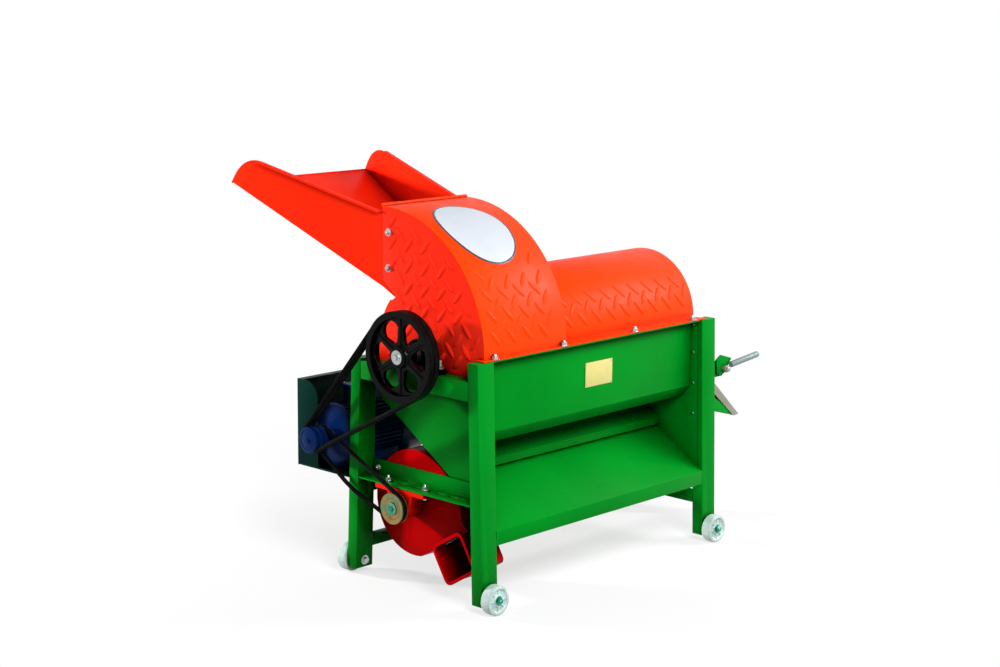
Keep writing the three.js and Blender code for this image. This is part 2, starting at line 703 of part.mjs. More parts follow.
const sideRegion = prismX(wallSide, hopperMidX - hopperSpan, hopperMidX + hopperSpan);
const floorStrip = prismX(floorSide, hopperMidX - hopperSpan, hopperMidX + hopperSpan);
const planBlock = prismZ(hopperPlan(0, hopperInnerY, hopperMouthY), 0, hopperTop);
const hopperWallPair = common(hopperWalls, sideRegion);
piece("hopper", join(hopperWallPair, common(planBlock, floorStrip)), red);

// Bare badge on the hood and bare plate on the front panel
const badgeX = hopperMidX + badge.offsetX;
function badgeShape() {
  const inner = hoodRadius + seat;
  const halfDeg = THREE.MathUtils.radToDeg(badge.halfHeight / hoodRadius);
  const mid = halfTurn - badge.angleDeg;
  const bandPath = arc(hoodBackY, hood.centreZ, inner, mid + halfDeg, mid - halfDeg, facets.arc * 2);
  const band = prismX(sheet(bandPath, badge.thickness), badgeX - badge.halfWidth, badgeX + badge.halfWidth);
  const rise = new THREE.Vector2(Math.cos(rad(mid)), Math.sin(rad(mid)));
  const up = new THREE.Vector2(rise.y, -rise.x);
  const halfChord = hoodRadius * Math.sin(badge.halfHeight / hoodRadius);
  const flat = circle(0, 0, 1, facets.cover).map(([u, v]) => [u * badge.halfWidth, v * halfChord]);
  const column = prismZ(flat, hoodRadius / 2, hoodRadius * 2);
  const turn = new THREE.Matrix4().makeBasis(
    new THREE.Vector3(1, 0, 0),
    new THREE.Vector3(0, up.x, up.y),
    new THREE.Vector3(0, rise.x, rise.y),
  );
  column.applyMatrix4(turn).translate(badgeX, hoodBackY, hood.centreZ);
  return common(band, column);
}

piece("oval_badge", badgeShape(), white);

const plateFaceY = -panelFaceY - panel.thickness - seat;
piece(
  "nameplate",
  box(
    nameplate.x - nameplate.width / 2,
    nameplate.x + nameplate.width / 2,
    plateFaceY - nameplate.thickness,
    plateFaceY,
    nameplate.z - nameplate.height / 2,
    nameplate.z + nameplate.height / 2,
  ),
  yellow,
);

// Concave screen: rods along the drum on curved ribs
function concaveScreen() {
  const rods = Array.from({ length: concave.rods }, (_, i) => {
    const a = rad(concave.fromDeg + ((concave.toDeg - concave.fromDeg) * i) / (concave.rods - 1));
    const rod = barX(concave.rodRadius, -betweenPlates, betweenPlates, squareSides);
    return moved(rod, 0, drum.y + concave.radius * Math.cos(a), drum.z + concave.radius * Math.sin(a));
  });
  const span = betweenPlates - concave.ribWidth;
  const ribs = Array.from({ length: concave.ribs }, (_, i) => {
    const x = -span + (2 * span * i) / (concave.ribs - 1);
    const path = arc(drum.y, drum.z, concave.radius, concave.fromDeg, concave.toDeg, facets.arc);
    const half = concave.ribWidth / 2;
    return prismX(sheet(path.reverse(), concave.ribDepth), x - half, x + half);
  });
  return join(...rods, ...ribs);
}

piece("concave_screen", concaveScreen(), steel);

// Drum shaft, rotor and pillow blocks
const drumAxis = groupAt(0, drum.y, drum.z);
const pulleyBackX = bigPulley.frontX + bigPulley.hubLength;
const shaftLeft = bigPulley.frontX - seat;
const shaftRight = block.x + block.length;
piece(
  "drum_shaft",
  join(
    barX(drum.shaftRadius, shaftLeft, shaftRight),
    barX(shaftEnd.washerRadius, shaftLeft - shaftEnd.washerThickness, shaftLeft),
    barX(shaftEnd.nutRadius, shaftLeft - shaftEnd.washerThickness - shaftEnd.nutHeight, shaftLeft, hexSides),
  ),
  steel,
  drumAxis,
);

// A tube on vented discs, with notched beater bars along it
function rotorBody() {
  const ends = rotorHalf + overrun;
  const skin = barX(drum.rotorRadius, -rotorHalf, rotorHalf, facets.shaft);
  const inner = drum.rotorRadius - rotorTube.wall;
  const tube = cut(skin, barX(inner, -ends, ends, facets.shaft));
  const span = rotorHalf - rotorTube.discInset - rotorTube.discThickness;
  const discs = Array.from({ length: rotorTube.discs }, (_, i) => {
    const x = -span + (2 * span * i) / (rotorTube.discs - 1);
    return barX(inner + seat, x - rotorTube.discThickness / 2, x + rotorTube.discThickness / 2, facets.shaft);
  });
  const vents = Array.from({ length: rotorTube.vents }, (_, i) => {
    const vent = barX(rotorTube.ventRadius, -ends, ends, hexSides);
    return moved(vent, 0, (inner + drum.shaftRadius) / 2, 0).rotateX(rad((fullTurn / rotorTube.vents) * i));
  });
  const half = drum.toothWidth / 2;
  const beaters = Array.from({ length: bars.count }, (_, i) => {
    const bar = box(-rotorHalf, rotorHalf, -half, half, inner + seat, drum.toothReach);
    const notches = Array.from({ length: bars.notches }, (_, k) => {
      const x = (k - (bars.notches - 1) / 2) * bars.pitch;
      const floor = drum.toothReach - bars.notchDepth;
      const reach = bars.notchWidth / 2;
      return box(x - reach, x + reach, -half - overrun, half + overrun, floor, drum.toothReach + overrun);
    });
    return cut(bar, ...notches).rotateX(rad((fullTurn / bars.count) * i));
  });
  const bore = barX(drum.shaftRadius + seat, -ends, ends);
  return cut(join(tube, ...discs, ...beaters), bore, ...vents);
}

piece("drum_rotor", rotorBody(), steel, drumAxis);

// A V-groove pulley rim about X, with grooves centred on the places given
function rimProfile(radius, inner, x0, x1, grooves) {
  const taper = grooveDepth * Math.tan(rad(belt.flankDeg));
  const points = [[x0, inner], [x0, radius]];
  for (const x of grooves) {
    points.push([x - grooveHalf, radius]);
    points.push([x - grooveHalf + taper, radius - grooveDepth]);
    points.push([x + grooveHalf - taper, radius - grooveDepth]);
    points.push([x + grooveHalf, radius]);
  }
  points.push([x1, radius], [x1, inner], [x0, inner]);
  return points;
}

function bigPulleyBody() {
  const x0 = bigPulley.frontX;
  const x1 = beltX[1] + (beltX[0] - bigPulley.frontX);
  const rimSection = rimProfile(bigPulley.radius, bigPulley.rimInner, x0, x1, beltX.slice(0, 2));
  const rim = turnedX(rimSection, facets.pulley);
  const webX = (x0 + x1) / 2;
  const half = bigPulley.webThickness / 2;
  const web = barX(bigPulley.rimInner + seat, webX - half, webX + half, facets.pulley);
  const hub = barX(bigPulley.hubRadius, x0, pulleyBackX, facets.smallPulley);
  const openings = Array.from({ length: spokes.count }, (_, i) => {
    const turn = (fullTurn / spokes.count) * (i + 1 / 2);
    const past = spokes.outerSweepDeg;
    const short = spokes.innerSweepDeg;
    const outer = arc(0, spokes.outerAt, spokes.outerR, -past, halfTurn + past, facets.small);
    const inner = arc(0, spokes.innerAt, spokes.innerR, halfTurn + short, fullTurn - short, facets.small / 2);
    const egg = prismX([...outer, ...inner], webX - half - overrun, webX + half + overrun);
    return egg.rotateX(rad(turn));
  });
  const bore = barX(drum.shaftRadius + seat, x0 - overrun, pulleyBackX + overrun);
  return cut(join(rim, cut(web, ...openings), hub), bore);
}

piece("drum_pulley", bigPulleyBody(), castBlack, drumAxis);

// A pillow block about X at the origin, standing on a face at -height
function pillowBlock(height, shape, shaftRadius, x0) {
  const shoulder = shape.bossRadius;
  const face = [
    [-shape.halfBase, -height],
    [shape.halfBase, -height],
    [shape.halfBase, -height + shape.footHeight],
    [shoulder + shape.footHeight, -height + shape.footHeight],
    ...arc(0, 0, shape.bossRadius, 0, halfTurn, facets.small),
    [-shoulder - shape.footHeight, -height + shape.footHeight],
    [-shape.halfBase, -height + shape.footHeight],
  ];
  return prismX(face, x0, x0 + shape.length, [circle(0, 0, shaftRadius + running, facets.shaft)]);
}

const blockHeight = drum.z - crossTop.topZ - seat;
for (const [side, name] of [[-1, "left"], [1, "right"]]) {
  const body = pillowBlock(blockHeight, block, drum.shaftRadius, side * block.x - block.length / 2);
  piece("drum_bearing_" + name, body, castBlack, groupAt(0, drum.y, drum.z));
}

// Motor, its plate and its guard
const motorAxis = groupAt(0, motor.y, motor.z);
const shieldEnd = motor.frontX + motor.shieldLength;
const finEnd = shieldEnd + motor.finLength;
const plateTop = motorPlate.bottomZ + motorPlate.thickness;
const footDrop = motor.z - plateTop - seat;

// Where each fin starts and ends, as shares of one fin's pitch
const finShares = [
  [0, motor.rootRadius],
  [0.55, motor.rootRadius],
  [0.62, motor.finRadius],
  [0.93, motor.finRadius],
];

function finnedShell() {
  const rim = [];
  for (let i = 0; i < motor.fins; i += 1) {
    for (const [share, radius] of finShares) {
      const a = ((i + share) / motor.fins) * 2 * Math.PI;
      rim.push([radius * Math.cos(a), radius * Math.sin(a)]);
    }
  }
  const shell = prismX(rim, shieldEnd - seat, finEnd);
  const shield = turnedX(
    [
      [motor.frontX, 0],
      [motor.frontX, motor.rootRadius / 2],
      [motor.frontX + motor.shieldLength / 3, motor.rootRadius],
      [motor.frontX + motor.shieldLength / 2, motor.finRadius],
      [shieldEnd, motor.finRadius],
      [shieldEnd, 0],
    ],
    facets.motor,
  );
  const feet = [-1, 1].map((side) => {
    const y = side * motorDetail.footY;
    const half = motorDetail.footWidth / 2;
    return join(
      box(shieldEnd, finEnd, y - half, y + half, -footDrop, -footDrop + motorDetail.footHeight),
      box(shieldEnd, finEnd, y - half / 2, y + half / 2, -footDrop, -motor.rootRadius / 2),
    );
  });
  const bore = barX(motorDetail.bore, motor.frontX - overrun, finEnd - motorCore.shaftRadius);
  const cavityX = shieldEnd + motorCore.shaftRadius;
  const cavity = barX(motorCore.cavityRadius, cavityX, cavityX + motorCore.cavityLength, facets.motor);
  return cut(join(shell, shield, ...feet), bore, cavity);
}

piece("motor_casing", finnedShell(), blue, motorAxis);

const cowlFront = finEnd + seat;
const cowlSkin = turnedX(
  [
    [cowlFront, 0],
    [cowlFront, motorDetail.cowlRadius],
    [cowlFront + motorDetail.cowlLength * motorDetail.cowlTaper, motorDetail.cowlRadius],
    [cowlFront + motorDetail.cowlLength, motorDetail.cowlRadius * motorDetail.cowlTaper],
    [cowlFront + motorDetail.cowlLength, 0],
  ],
  facets.motor,
);
const cowlSpace = barX(
  motorDetail.cowlRadius * motorDetail.cowlTaper - motorDetail.cowlWall,
  cowlFront - overrun,
  cowlFront + motorDetail.cowlLength - motorDetail.cowlWall,
  facets.motor,
);
piece("motor_cowl", cut(cowlSkin, cowlSpace), blue, motorAxis);

const boxFloor = motor.finRadius + seat;
piece(
  "terminal_box",
  join(
    box(
      terminal.x - terminal.length / 2 + terminal.lidInset,
      terminal.x + terminal.length / 2 - terminal.lidInset,
      -terminal.width / 2 + terminal.lidInset,
      terminal.width / 2 - terminal.lidInset,
      boxFloor,
      boxFloor + terminal.height,
    ),
    box(
      terminal.x - terminal.length / 2,
      terminal.x + terminal.length / 2,
      -terminal.width / 2,
      terminal.width / 2,
      boxFloor + terminal.height - terminal.lid,
      boxFloor + terminal.height,
    ),
  ),
  blue,
  motorAxis,
);

const motorPulleyFront = beltX[0] - grooveHalf - belt.sideGap * 3;
const motorPulleyBack = beltX[2] + beltX[0] - motorPulleyFront;
const motorShaftTip = motorPulleyFront + motorPulley.faceLength;
const coreX = shieldEnd + motorCore.shaftRadius + (motorCore.cavityLength - motorCore.coreLength) / 2;
piece(
  "motor_shaft",
  join(
    barX(motorCore.shaftRadius, motorShaftTip, coreX + motorCore.coreLength + motorCore.shaftRadius),
    barX(motorCore.coreRadius, coreX, coreX + motorCore.coreLength, facets.motor),
  ),
  steel,
  motorAxis,
);

const motorRim = rimProfile(motorPulley.radius, 0, motorPulleyFront, motorPulleyBack, beltX);
const motorRimEdge = [motorPulleyFront + motorPulley.faceLength / 2, motorPulley.radius];
motorRim.splice(1, 1, [motorPulleyFront, motorPulley.faceRadius], motorRimEdge);
piece(
  "motor_pulley",
  cut(
    turnedX(motorRim, facets.smallPulley),
    barX(motorCore.shaftRadius + seat, motorShaftTip - seat, motorPulleyBack + overrun),
  ),
  blue,
  motorAxis,
);

const motorPlateInner = motorPlate.innerY;
const motorPlateLeft = -legOuterX + guard.thickness;
const motorLegClear = legOuterY(motorPlate.bottomZ) + seat * 3;
const platePlan = [
  [motorPlateLeft, motorLegClear],
  [-legInnerX + seat * 2, motorLegClear],
  [-legInnerX + seat * 2, motorPlateInner],
  [motorPlate.endX, motorPlateInner],
  [motorPlate.endX, motorPlate.outerY],
  [motorPlateLeft, motorPlate.outerY],
];
const gussets = [-legInnerX + seat * 2, motorPlate.endX - motorPlate.gussetThickness].map((x) => {
  const face = [
    [motorLegClear, motorPlate.bottomZ + seat],
    [motorPlate.outerY, motorPlate.bottomZ + seat],
    [motorLegClear, motorPlate.bottomZ - motorPlate.gussetDrop],
  ];
  return prismX(face, x, x + motorPlate.gussetThickness);
});
piece("motor_plate", join(prismZ(platePlan, motorPlate.bottomZ, plateTop), ...gussets), teal);

function guardBody() {
  const z0 = motorPlate.bottomZ;
  const z1 = guard.topZ;
  const x0 = -legOuterX;
  const t = guard.thickness;
  const r = guard.cornerRadius;
  const endFace = [
    [guard.backY, z0],
    [guard.backY, z1],
    ...arc(guard.backY - guard.endDepth + r, z1 - r, r, quarterTurn, halfTurn, facets.small / 2),
    [guard.backY - guard.endDepth, z0],
  ];
  return join(
    box(x0, guard.rightX, guard.backY - t, guard.backY, z0, z1),
    prismX(endFace, x0, x0 + t),
    box(x0, guard.rightX, guard.backY - guard.topLip, guard.backY, z1 - t, z1),
  );
}

const guardCut = box(
  -legOuterX - overrun,
  0,
  motorPlateInner,
  motorPlate.outerY + seat,
  motorPlate.bottomZ - overrun,
  plateTop + seat,
);
piece("motor_guard", cut(guardBody(), guardCut), teal);

// Fan: casing, outlet box, shaft, impeller, pulley and hanging bearing
const outletAxes = {
  across: [-Math.cos(rad(outlet.turnDeg)), Math.sin(rad(outlet.turnDeg))],
  along: [-Math.sin(rad(outlet.turnDeg)), -Math.cos(rad(outlet.turnDeg))],
};

function outletPoint(u, v) {
  return [
    outlet.centreY + outletAxes.across[0] * u + outletAxes.along[0] * v,
    outlet.centreZ + outletAxes.across[1] * u + outletAxes.along[1] * v,
  ];
}

function outletFace(grow) {
  const r = outletRim.cornerRadius + grow;
  const u = outlet.across / 2 + grow - r;
  const v = outlet.along / 2 + grow - r;
  const corners = [[u, v], [-u, v], [-u, -v], [u, -v]].map(([cu, cv], i) => {
    return arc(cu, cv, r, quarterTurn * i, quarterTurn * (i + 1), facets.corner);
  });
  return corners.flat().map(([cu, cv]) => outletPoint(cu, cv));
}

// The scroll opens from the back, over the top, to the front, where it runs into the outlet box
function scroll(inset) {
  const steps = facets.arc * 2;
  const rim = Array.from({ length: steps + 1 }, (_, i) => {
    const turn = fanScroll.fromDeg + ((fanScroll.toDeg - fanScroll.fromDeg) * i) / steps;
    const share = (turn - fanScroll.opensDeg) / (fanScroll.fullDeg - fanScroll.opensDeg);
    const grow = Math.min(Math.max(share, 0), 1) ** fanScroll.curl;
    const r = fan.radius + (fanScroll.frontRadius - fan.radius) * grow - inset;
    return [fan.y + r * Math.cos(rad(turn)), fan.z + r * Math.sin(rad(turn))];
  });
  const shave = inset + outletRim.cornerRadius * (1 - Math.SQRT1_2);
  const u = outlet.across / 2 - shave;
  const v = outlet.along / 2 - shave;
  const throat = [outletPoint(u, -v), outletPoint(0, 0), outletPoint(-u, -v)];
  return [...rim, ...throat];
}

function fanCasing() {
  const x0 = fanFrontX;
  const x1 = x0 + fan.depth;
  const boxBack = outlet.frontX + outlet.depth;
  const skin = join(
    prismX(scroll(0), x0, x1),
    prismX(outletFace(0), outlet.frontX, boxBack),
    prismX(outletFace(outletRim.width), outlet.frontX, outlet.frontX + outletRim.thickness),
  );
  const air = join(
    prismX(scroll(fan.wall), x0 + fan.wall, x1 - fan.wall),
    prismX(outletFace(-fan.wall), outlet.frontX - overrun, boxBack - fan.wall),
  );
  const inlet = moved(barX(fan.inletRadius, x1 - overrun, x1 + overrun, facets.cover), 0, fan.y, fan.z);
  const hole = moved(barX(fanScroll.shaftHole, x0 - overrun, x0 + overrun), 0, fan.y, fan.z);
  return cut(skin, air, inlet, hole);
}

piece("fan_casing", fanCasing(), fanRed);

const fanAxis = groupAt(0, fan.y, fan.z);
const impellerX = fanFrontX + (fan.depth - impeller.width) / 2;
const fanShaftTip = fanPulleyFrontX - seat;
piece(
  "fan_shaft",
  join(
    barX(fan.shaftRadius, fanShaftTip, impellerX + impeller.hubLength),
    barX(shaftEnd.nutRadius, fanShaftTip - shaftEnd.nutHeight, fanShaftTip + seat, hexSides),
  ),
  zinc,
  fanAxis,
);

function impellerBody() {
  const hub = barX(impeller.hubRadius, impellerX, impellerX + impeller.hubLength);
  const disc = barX(impeller.radius, impellerX, impellerX + impeller.discThickness, facets.cover);
  const half = impeller.bladeThickness / 2;
  const blades = Array.from({ length: impeller.blades }, (_, i) => {
    const root = (fan.shaftRadius + impeller.hubRadius) / 2;
    const blade = box(impellerX, impellerX + impeller.width, -half, half, root, impeller.radius);
    return blade.rotateX(rad((fullTurn / impeller.blades) * i));
  });
  const bore = barX(fan.shaftRadius + seat, impellerX - overrun, impellerX + impeller.width + overrun);
  return cut(join(hub, disc, ...blades), bore);
}

piece("fan_impeller", impellerBody(), steel, fanAxis);

const fanPulleyBackX = fanPulleyFrontX + fanPulley.width;
const fanRim = rimProfile(fanPulley.radius, 0, fanPulleyFrontX, fanPulleyBackX, beltX.slice(2));
const fanBore = barX(fan.shaftRadius + seat, fanPulleyFrontX - overrun, fanPulleyBackX + overrun);
piece("fan_pulley", cut(turnedX(fanRim, facets.smallPulley), fanBore), yellowZinc, fanAxis);

const hangHeight = bearer.bottomZ - seat - fan.z;
const hangGroup = groupAt(0, fan.y, fan.z);
hangGroup.rotation.x = rad(halfTurn);
const hangerFront = fanPulleyBackX + hanger.frontGap;
const hangerShape = { ...hanger, length: fanFrontX - hanger.backGap - hangerFront };
piece("fan_bearing", pillowBlock(hangHeight, hangerShape, fan.shaftRadius, hangerFront), red, hangGroup);

// Belts: a V section swept round two pulleys in one plane, with a sag in the lower run
function beltBody(x, from, fromRadius, to, toRadius, sag = 0) {
  const dy = to[0] - from[0];
  const dz = to[1] - from[1];
  const heading = Math.atan2(dz, dy);
  const lean = Math.acos((fromRadius - toRadius) / Math.hypot(dy, dz));
  const stops = [];
  const wrap = (centre, radius, start, end, steps) => {
    for (let i = 0; i <= steps; i += 1) {
      stops.push({ centre, radius, angle: start + ((end - start) * i) / steps });
    }
  };
  wrap(from, fromRadius, heading + lean, heading + 2 * Math.PI - lean, facets.cover);
  const runSteps = sag > 0 ? facets.small : 1;
  for (let i = 1; i < runSteps; i += 1) {
    const t = i / runSteps;
    const slack = sag * Math.sin(Math.PI * t) ** 2;
    const radius = fromRadius + (toRadius - fromRadius) * t + slack;
    stops.push({ centre: [from[0] + dy * t, from[1] + dz * t], radius, angle: heading - lean });
  }
  wrap(to, toRadius, heading - lean, heading + lean, facets.wheel);
  const inset = belt.height * Math.tan(rad(belt.flankDeg));
  const section = [
    [-belt.top / 2, 0],
    [belt.top / 2, 0],
    [belt.top / 2 - inset, -belt.height],
    [-belt.top / 2 + inset, -belt.height],
  ];
  const positions = [];
  for (const { centre, radius, angle } of stops) {
    for (const [side, depth] of section) {
      const r = radius + depth;
      positions.push(x + side, centre[0] + r * Math.cos(angle), centre[1] + r * Math.sin(angle));
    }
  }
  const index = [];
  const count = section.length;
  for (let i = 0; i < stops.length; i += 1) {
    for (let j = 0; j < count; j += 1) {
      const a = i * count + j;
      const b = i * count + ((j + 1) % count);
      const c = ((i + 1) % stops.length) * count + ((j + 1) % count);
      const d = ((i + 1) % stops.length) * count + j;
      index.push(a, c, b, a, d, c);
    }
  }
  const geometry = new THREE.BufferGeometry();
  geometry.setAttribute("position", new THREE.Float32BufferAttribute(positions, 3));
  geometry.setIndex(index);
  return geometry;
}

const drumPlace = [drum.y, drum.z];
const motorPlace = [motor.y, motor.z];
const fanPlace = [fan.y, fan.z];
for (const [i, name] of ["outer", "inner"].entries()) {
  const body = beltBody(beltX[i], drumPlace, bigPulley.radius, motorPlace, motorPulley.radius);
  piece("main_belt_" + name, body, rubber);
}
const fanBelt = beltBody(beltX[2], fanPlace, fanPulley.radius, motorPlace, motorPulley.radius, belt.sag);
piece("fan_belt", fanBelt, rubber);

// Cob chute, gate flap, lever and bracket
function chuteBody() {
  const x0 = plateOuterX + seat;
  const t = chute.thickness;
  const side = [
    [x0, chute.plateZ - t],
    [chute.tipX, chute.tipZ - t],
    [chute.tipX, chute.tipZ + t],
    [x0, chute.wallZ],
  ];
  const floor = [
    [x0, chute.plateZ - t],
    [chute.tipX, chute.tipZ - t],
    [chute.tipX, chute.tipZ],
    [x0, chute.plateZ],
  ];
  return join(
    prismY(side, chute.fromY, chute.fromY + t),
    prismY(side, chute.toY - t, chute.toY),
    prismY(floor, chute.fromY, chute.toY),
  );
}

piece("cob_chute", chuteBody(), green);

const flapDir = new THREE.Vector2(flap.tipX - flap.topX, flap.tipZ - flap.topZ).normalize();
const flapNormal = new THREE.Vector2(-flapDir.y, flapDir.x);

function gateFlap() {
  const t = flap.thickness;
  const y0 = chute.fromY - seat - t;
  const y1 = chute.toY + seat + t;
  const along = (s, n) => {
    const top = new THREE.Vector2(flap.topX, flap.topZ);
    const point = top.addScaledVector(flapDir, s).addScaledVector(flapNormal, n);
    return point.toArray();
  };
  const length = Math.hypot(flap.tipX - flap.topX, flap.tipZ - flap.topZ);
  const top = [along(0, 0), along(length, 0), along(length, t), along(0, t)];
  const skirt = [
    along(0, t / 2),
    [flap.topX, flap.topZ - flap.skirt],
    along(length - flap.skirt / 2, -flap.skirt / 2),
    along(length, t / 2),
  ];
  const ear = [
    ...arc(pivot.x, pivot.z, flap.earRadius, 0, halfTurn, facets.small / 2),
    along(flap.skirt / 2, t / 2),
    along(flap.earEnd, t / 2),
  ];
  const earAt = (y) => prismY(ear, y, y + flap.earThickness);
  const rod = moved(barY(pivot.rodRadius, pivot.nearY, pivot.farY), pivot.x, 0, pivot.z);
  const headBar = barY(pivot.headRadius, pivot.nearY - pivot.headLength, pivot.nearY + seat, hexSides);
  const head = moved(headBar, pivot.x, 0, pivot.z);
  return join(
    prismY(top, y0, y1),
    prismY(skirt, y0, y0 + t),
    prismY(skirt, y1 - t, y1),
    earAt(y0 + flap.skirt),
    earAt(y1 - flap.skirt - flap.earThickness),
    rod,
    head,
  );
}

piece("gate_flap", gateFlap(), bareSheet);

const leverFace = leverOutline.map(([x, z]) => [pivot.x + x, pivot.z + z]);
const leverHole = barY(pivot.rodRadius + seat, lever.y - overrun, lever.y + overrun);
const leverBore = moved(leverHole, pivot.x, 0, pivot.z);
const leverPlate = prismY(leverFace, lever.y, lever.y + lever.thickness);
piece("gate_lever", cut(leverPlate, leverBore), green);

const handleGroup = groupAt(lever.handleStartX, lever.y - lever.handleRadius - seat, lever.handleStartZ);
const handleRun = lever.handleEndX - lever.handleStartX;
const handleRise = lever.handleEndZ - lever.handleStartZ;
const handleLength = Math.hypot(handleRun, handleRise);
handleGroup.rotation.y = -Math.atan2(handleRise, handleRun);
piece("gate_handle", barX(lever.handleRadius, 0, handleLength, facets.smallPulley), zinc, handleGroup);

function gateBracket() {
  const x0 = legOuterX + seat;
  const t = bracket.thickness;
  const h = bracket.halfHeight;
  const c = bracket.chamfer;
  const ear = [
    [x0, pivot.z - h],
    [bracket.noseX - c, pivot.z - h],
    [bracket.noseX, pivot.z - h + c],
    [bracket.noseX, pivot.z + h - c],
    [bracket.noseX - c, pivot.z + h],
    [x0, pivot.z + h],
  ];
  const reach = [bracket.nearY, bracket.farY + bracket.earWidth];
  const strip = box(x0, x0 + t, ...reach, pivot.z - h, pivot.z + h);
  const tab = box(x0, x0 + t, bracket.nearY + leg.depth * 2, bracket.farY, pivot.z, bracket.topZ);
  const bore = moved(barY(pivot.rodRadius + running, -leg.footHalfY, leg.footHalfY), pivot.x, 0, pivot.z);
  const earAt = (y) => prismY(ear, y, y + bracket.earWidth);
  return cut(join(strip, tab, earAt(bracket.nearY), earAt(bracket.farY)), bore);
}

piece("gate_bracket", gateBracket(), green);

// Stand the machine on the floor with the middle of its outline over the origin
machine.updateMatrixWorld(true);
const bounds = new THREE.Box3().setFromObject(machine, true);
const middle = bounds.getCenter(new THREE.Vector3());
machine.position.set(-middle.x, -middle.y, -bounds.min.z);

export default machine;
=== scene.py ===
"""The looks of the corn sheller: paint, checker plate, castings, belts and bolts, with camera and studio light."""
import json
import math

import bmesh
import bpy
from mathutils import Matrix, Vector


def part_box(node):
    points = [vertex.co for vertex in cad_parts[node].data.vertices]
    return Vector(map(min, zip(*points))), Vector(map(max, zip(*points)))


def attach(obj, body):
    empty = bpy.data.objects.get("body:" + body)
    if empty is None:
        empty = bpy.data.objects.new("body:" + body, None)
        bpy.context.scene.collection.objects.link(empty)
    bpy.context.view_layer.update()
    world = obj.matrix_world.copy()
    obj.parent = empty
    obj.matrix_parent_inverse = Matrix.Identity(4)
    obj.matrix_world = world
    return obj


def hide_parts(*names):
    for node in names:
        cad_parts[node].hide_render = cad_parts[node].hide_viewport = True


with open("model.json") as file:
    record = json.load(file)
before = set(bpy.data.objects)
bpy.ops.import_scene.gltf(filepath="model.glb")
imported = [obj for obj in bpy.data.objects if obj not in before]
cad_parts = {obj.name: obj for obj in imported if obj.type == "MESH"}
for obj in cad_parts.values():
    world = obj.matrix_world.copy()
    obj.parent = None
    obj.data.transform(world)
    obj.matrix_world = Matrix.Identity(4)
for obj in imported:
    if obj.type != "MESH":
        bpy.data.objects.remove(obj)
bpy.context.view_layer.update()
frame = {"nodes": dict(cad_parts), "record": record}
record = frame["record"]
nodes = frame["nodes"]
body_of = {n: b for b, members in record["behaviour"]["bodies"].items() for n in members}
slot_of = {s["node"]: s["material_slot"] for s in record["subparts"]}
MM = 0.001
X, Y, Z = Vector((1, 0, 0)), Vector((0, 1, 0)), Vector((0, 0, 1))
FRAME_BODY = "frame"
CORNERS = ("front_left", "front_right", "back_left", "back_right")

# The part's own drawing has its origin between the legs: these move a drawing point to the frame.
LEG_OUTER_X = 495.0
LEG_FOOT_Y = 255.0
leg_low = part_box("leg_front_left")[0]
SHIFT = Vector((leg_low[0] + LEG_OUTER_X * MM, leg_low[1] + LEG_FOOT_Y * MM, 0.0))


def at(x, y, z):
    return Vector((x * MM, y * MM, z * MM)) + SHIFT


def cos_sin(degrees):
    return math.cos(math.radians(degrees)), math.sin(math.radians(degrees))


def linked(name, data):
    obj = bpy.data.objects.new(name, data)
    bpy.context.scene.collection.objects.link(obj)
    return obj


# Camera
YAW, PITCH, ROLL = 0.8187, 0.1842, 0.0097
CAMERA_MM = (-3951.5, -3544.1, 1629.1)
FOCAL_PX, FRAME_PX, SENSOR_MM = 1936.73, 1000.0, 36.0
VIEW_END_M = 60


def add_camera():
    ahead = Vector((math.sin(YAW) * math.cos(PITCH), math.cos(YAW) * math.cos(PITCH), -math.sin(PITCH)))
    level = Vector((math.cos(YAW), -math.sin(YAW), 0))
    rise = level.cross(ahead)
    right = math.cos(ROLL) * level + math.sin(ROLL) * rise
    up = -math.sin(ROLL) * level + math.cos(ROLL) * rise
    data = bpy.data.cameras.new("camera")
    data.sensor_width = SENSOR_MM
    data.lens = FOCAL_PX / FRAME_PX * SENSOR_MM
    data.clip_end = VIEW_END_M
    camera = linked("camera", data)
    turn = Matrix((right, up, -ahead)).transposed().to_4x4()
    camera.matrix_world = Matrix.Translation(at(*CAMERA_MM)) @ turn
    bpy.context.scene.camera = camera


add_camera()

# Materials
BLACK, WHITE, DUST, CHALK = (0.0, 0.0, 0.0), (1.0, 1.0, 1.0), (0.5, 0.45, 0.35), (0.01, 0.01, 0.01)
NOISE_LOW, NOISE_HIGH = 0.3, 0.7
HAMMER_CELLS = 260.0
CREVICE_SAMPLES = 5
COAT_ROUGH = 0.12


def rgba(col):
    return (*col, 1)


def shade(col, k):
    return tuple(max(0.0, min(1.0, c * k)) for c in col)


def feed(tree, node, inputs):
    """Gives each input its value, or links it to the socket that the value is."""
    for key, value in inputs.items():
        if isinstance(value, bpy.types.NodeSocket):
            tree.links.new(value, node.inputs[key])
        else:
            node.inputs[key].default_value = value


def add_node(tree, kind, inputs=None, **settings):
    node = tree.nodes.new("ShaderNode" + kind)
    for key, value in settings.items():
        setattr(node, key, value)
    feed(tree, node, inputs or {})
    return node


